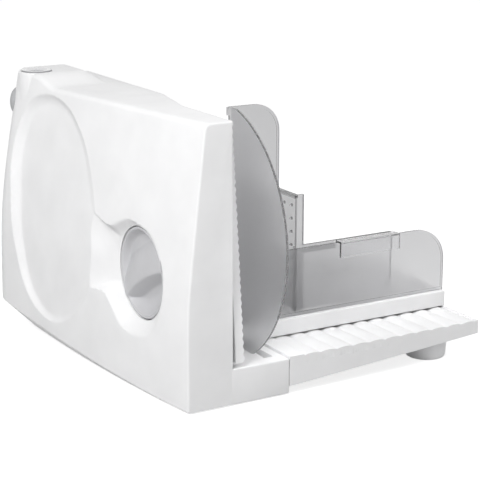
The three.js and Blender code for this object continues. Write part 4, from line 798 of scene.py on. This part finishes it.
# Food holder
# The pusher for the end of the food, moulded in the same smoke-tinted clear plastic: a plate with
# rows of small points, a low arm along the guard's wall and a clip that hooks over it. Its thin edge
# faces take the same painted shade.
FRONT = 48.9
BACK = FRONT + 90
SKIN = 2.4
PLATE_X = 80.2
PLATE_TOP = 131.2
CLIP_LEFT = 116
CLIP_RIGHT = 169.5
CLIP_NEAR = 41
CLIP_TOP = 92.9
ARM_LOW = 43.3
POINT_PITCH = 10
holder = box("food_holder", (PLATE_X, FRONT, ARM_LOW), (PLATE_X + SKIN, BACK, PLATE_TOP))
combine(holder, box("flange", (PLATE_X, FRONT - 0.2, ARM_LOW), (87.6, FRONT + SKIN, PLATE_TOP)), "UNION")
combine(holder, box("rim", (PLATE_X - 0.6, FRONT - 0.2, 129), (PLATE_X + 3.4, BACK, PLATE_TOP)), "UNION")
combine(holder, box("arm", (PLATE_X, FRONT, ARM_LOW), (167, FRONT + SKIN, CLIP_TOP)), "UNION")
combine(holder, box("roof", (CLIP_LEFT, CLIP_NEAR, 91.6), (CLIP_RIGHT, FRONT + SKIN, CLIP_TOP)), "UNION")
combine(holder, box("lip", (CLIP_LEFT, CLIP_NEAR, 81), (CLIP_RIGHT, 43, CLIP_TOP)), "UNION")
combine(holder, box("band", (PLATE_X, FRONT - 0.2, 87), (CLIP_LEFT, FRONT + 2.6, CLIP_TOP)), "UNION")
modify(holder, "BEVEL", width=0.5 * MM, segments=2, limit_method="ANGLE", angle_limit=1.2)
bpy.ops.object.select_all(action="DESELECT")
bpy.ops.mesh.primitive_cone_add(
    vertices=10, radius1=1.3 * MM, radius2=0.25 * MM, depth=2.4 * MM,
    location=at(PLATE_X - 1.1, FRONT + 4.4, 123.4), rotation=(0, -math.pi / 2, 0))
point = bpy.context.object
bpy.ops.object.transform_apply(location=True, rotation=True, scale=True)
modify(point, "ARRAY", count=8, use_relative_offset=False, use_constant_offset=True,
       constant_offset_displace=(0, POINT_PITCH * MM, 0))
modify(point, "ARRAY", count=7, use_relative_offset=False, use_constant_offset=True,
       constant_offset_displace=(0, 0, -POINT_PITCH * MM))
combine(holder, point, "UNION")
finish_mesh(holder, 40)
smoke_pale = smoked("smoke_pale_plastic", (0.96, 0.96, 0.964), 0.12)
dress(holder, smoke_pale, smoke_edge_painted_shade, smoke)
for face in holder.data.polygons:
    on_plate = face.center.x < at(88.5, 0, 0).x
    on_band = face.center.z > 89 * MM and face.center.x < at(110, 0, 0).x
    if on_plate or on_band:
        face.material_index = 2
# Painted shade on the holder's thin edge faces.
paint_edge_shade(holder, 2.6, 1)
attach(holder, "pusher")
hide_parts("pusher")

# Blade
# A 170 mm round blade of ground stainless steel with a fine hollow bevel, clamped to its nylon
# carrier by one large screw.
steel, steel_nodes, steel_links = new_material("ground_blade_steel")
steel_shader = steel_nodes["Principled BSDF"]
steel_shader.inputs["Metallic"].default_value = 1.0
steel_place = steel_nodes.new("ShaderNodeTexCoord")
steel_centre = steel_nodes.new("ShaderNodeMapping")
steel_centre.inputs["Location"].default_value = -at(0, *BLADE)
steel_rings = steel_nodes.new("ShaderNodeTexWave")
steel_rings.wave_type = "RINGS"
steel_rings.rings_direction = "X"
steel_rings.inputs["Scale"].default_value = 420
steel_rings.inputs["Distortion"].default_value = 1.5
steel_rings.inputs["Detail"].default_value = 3
steel_rough = steel_nodes.new("ShaderNodeMapRange")
steel_rough.inputs["To Min"].default_value = 0.2
steel_rough.inputs["To Max"].default_value = 0.32
steel_bump = steel_nodes.new("ShaderNodeBump")
steel_bump.inputs["Strength"].default_value = 0.1
steel_bump.inputs["Distance"].default_value = 0.00003
steel_links.new(steel_place.outputs["Object"], steel_centre.inputs["Vector"])
steel_links.new(steel_centre.outputs["Vector"], steel_rings.inputs["Vector"])
steel_links.new(steel_rings.outputs["Fac"], steel_rough.inputs["Value"])
steel_links.new(steel_rings.outputs["Fac"], steel_bump.inputs["Height"])
steel_links.new(steel_bump.outputs["Normal"], steel_shader.inputs["Normal"])
steel_links.new(steel_rough.outputs["Result"], steel_shader.inputs["Roughness"])
steel_tone = mottle(steel, 25, (0.58, 0.59, 0.60), (0.63, 0.64, 0.65))
steel_links.new(steel_tone, steel_shader.inputs["Base Color"])
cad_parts["blade"].data.materials.clear()
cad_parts["blade"].data.materials.append(steel)

# Kept pieces
# The pieces inside and under the body keep their CAD shape and take the finish of the real ones:
# white and natural plastic, rubber, brass and plain steel.
black_plastic = moulded("black_moulded_plastic", (0.035, 0.035, 0.038), 0.5, 1800, 0.15, 0.006)
rubber = moulded("black_rubber", (0.03, 0.03, 0.032), 0.75, 900, 0.3, 0.006)
nylon = moulded("natural_nylon", (0.70, 0.67, 0.59), 0.5, 1500, 0.15)
brass = moulded("turned_brass", (0.60, 0.44, 0.20), 0.34, 2200, 0.08, 0.03, metal=1.0)
finish_of = {
    "inner_cover": white_plastic, "bottom_cover": white_plastic, "carriage_runner": white_plastic,
    "stop_carrier": nylon, "guide_rod_low": plain_steel, "guide_rod_high": plain_steel,
    "guide_bush_low": nylon, "guide_bush_high": nylon, "adjusting_screw": nylon,
    "blade_carrier": white_plastic, "blade_screw": grey_plastic, "blade_shaft": plain_steel,
    "blade_bush": brass, "blade_gear": nylon, "idler_gear": nylon, "idler_pin": plain_steel,
    "gear_frame": plain_steel, "motor_can": plain_steel, "motor_shaft": plain_steel,
    "motor_bracket": black_plastic, "switch_block": black_plastic, "body_foot_near_left": rubber,
    "body_foot_far_left": rubber, "body_foot_near_right": rubber, "body_foot_far_right": rubber,
    "cord_gland": black_plastic,
}
for name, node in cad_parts.items():
    finish = finish_of.get(name, plain_steel if "screw_" in name else None)
    if finish:
        node.data.materials.clear()
        node.data.materials.append(finish)

# Table, lamps and camera
# A plain white table top and soft studio light: one big lamp from the left, a weaker one from the
# right front and the room's light, dimmer at the far left. The camera stands where the photograph was taken.
bpy.ops.object.select_all(action="DESELECT")
bpy.ops.mesh.primitive_plane_add(size=6, location=(0, 0, -0.0002))
floor = bpy.context.object
floor.name = "table_top"
paper, paper_nodes, paper_links = new_material("white_table")
paper_shader = paper_nodes["Principled BSDF"]
paper_shader.inputs["Base Color"].default_value = (0.55, 0.55, 0.55, 1)
paper_shader.inputs["Roughness"].default_value = 0.9
paper_shader.inputs["Specular IOR Level"].default_value = 0.0
paper_shader.inputs["Emission Color"].default_value = (1, 1, 1, 1)
paper_path = paper_nodes.new("ShaderNodeLightPath")
paper_seen = paper_nodes.new("ShaderNodeMath")
paper_seen.operation = "MAXIMUM"
paper_glow = paper_nodes.new("ShaderNodeMath")
paper_glow.operation = "MULTIPLY"
paper_glow.inputs[1].default_value = 0.78
paper_clear = paper_nodes.new("ShaderNodeMath")
paper_clear.operation = "MULTIPLY_ADD"
paper_clear.inputs[1].default_value = -0.2
paper_links.new(paper_path.outputs["Is Camera Ray"], paper_seen.inputs[0])
paper_links.new(paper_path.outputs["Is Glossy Ray"], paper_seen.inputs[1])
paper_links.new(paper_seen.outputs[0], paper_glow.inputs[0])
paper_links.new(paper_path.outputs["Is Transmission Ray"], paper_clear.inputs[0])
paper_links.new(paper_glow.outputs[0], paper_clear.inputs[2])
paper_links.new(paper_clear.outputs[0], paper_shader.inputs["Emission Strength"])
floor.data.materials.append(paper)

world = bpy.data.worlds.new("studio")
bpy.context.scene.world = world
world.use_nodes = True
sky = world.node_tree
path = sky.nodes.new("ShaderNodeLightPath")
lit = sky.nodes.new("ShaderNodeBackground")
seen = sky.nodes.new("ShaderNodeBackground")
lit.inputs["Color"].default_value = (1, 1, 1, 1)
toward = sky.nodes.new("ShaderNodeTexCoord")
far_left = sky.nodes.new("ShaderNodeVectorMath")
far_left.operation = "DOT_PRODUCT"
far_left.inputs[1].default_value = (-0.6, 0.8, 0.0)
fall = sky.nodes.new("ShaderNodeMapRange")
fall.inputs["From Min"].default_value = -0.2
fall.inputs["From Max"].default_value = 0.9
fall.inputs["To Min"].default_value = 0.48
fall.inputs["To Max"].default_value = 0.24
sky.links.new(toward.outputs["Generated"], far_left.inputs[0])
sky.links.new(far_left.outputs["Value"], fall.inputs["Value"])
sky.links.new(fall.outputs["Result"], lit.inputs["Strength"])
seen.inputs["Color"].default_value = (1, 1, 1, 1)
seen.inputs["Strength"].default_value = 1.0
camera_or_gloss = sky.nodes.new("ShaderNodeMath")
camera_or_gloss.operation = "MAXIMUM"
or_clear = sky.nodes.new("ShaderNodeMath")
or_clear.operation = "MAXIMUM"
blend = sky.nodes.new("ShaderNodeMixShader")
sky.links.new(path.outputs["Is Camera Ray"], camera_or_gloss.inputs[0])
sky.links.new(path.outputs["Is Glossy Ray"], camera_or_gloss.inputs[1])
sky.links.new(camera_or_gloss.outputs[0], or_clear.inputs[0])
sky.links.new(path.outputs["Is Transmission Ray"], or_clear.inputs[1])
sky.links.new(or_clear.outputs[0], blend.inputs["Fac"])
sky.links.new(lit.outputs[0], blend.inputs[1])
sky.links.new(seen.outputs[0], blend.inputs[2])
sky.links.new(blend.outputs[0], sky.nodes["World Output"].inputs["Surface"])


def lamp(name, place, aim, size, watts):
    light = bpy.data.lights.new(name, "AREA")
    light.energy = watts
    light.size = size
    lamp_object = bpy.data.objects.new(name, light)
    bpy.context.collection.objects.link(lamp_object)
    lamp_object.location = place
    lamp_object.rotation_euler = (Vector(aim) - Vector(place)).to_track_quat("-Z", "Y").to_euler()


lamp("left_softbox", (-0.66, -0.40, 0.68), (-0.1, 0, 0.1), 0.4, 6.2)
lamp("right_softbox", (0.42, -0.24, 0.44), (0.05, 0, 0.03), 0.3, 1.1)

camera = bpy.data.cameras.new("photo_view")
camera.sensor_width = 36
camera.lens = 114
viewpoint = bpy.data.objects.new("photo_view", camera)
bpy.context.collection.objects.link(viewpoint)
viewpoint.location = (-0.5677, -0.9773, 0.3819)
viewpoint.rotation_euler = (math.radians(75.2), 0, math.radians(-30.3))
bpy.context.scene.camera = viewpoint
bpy.context.scene.view_settings.view_transform = "Standard"
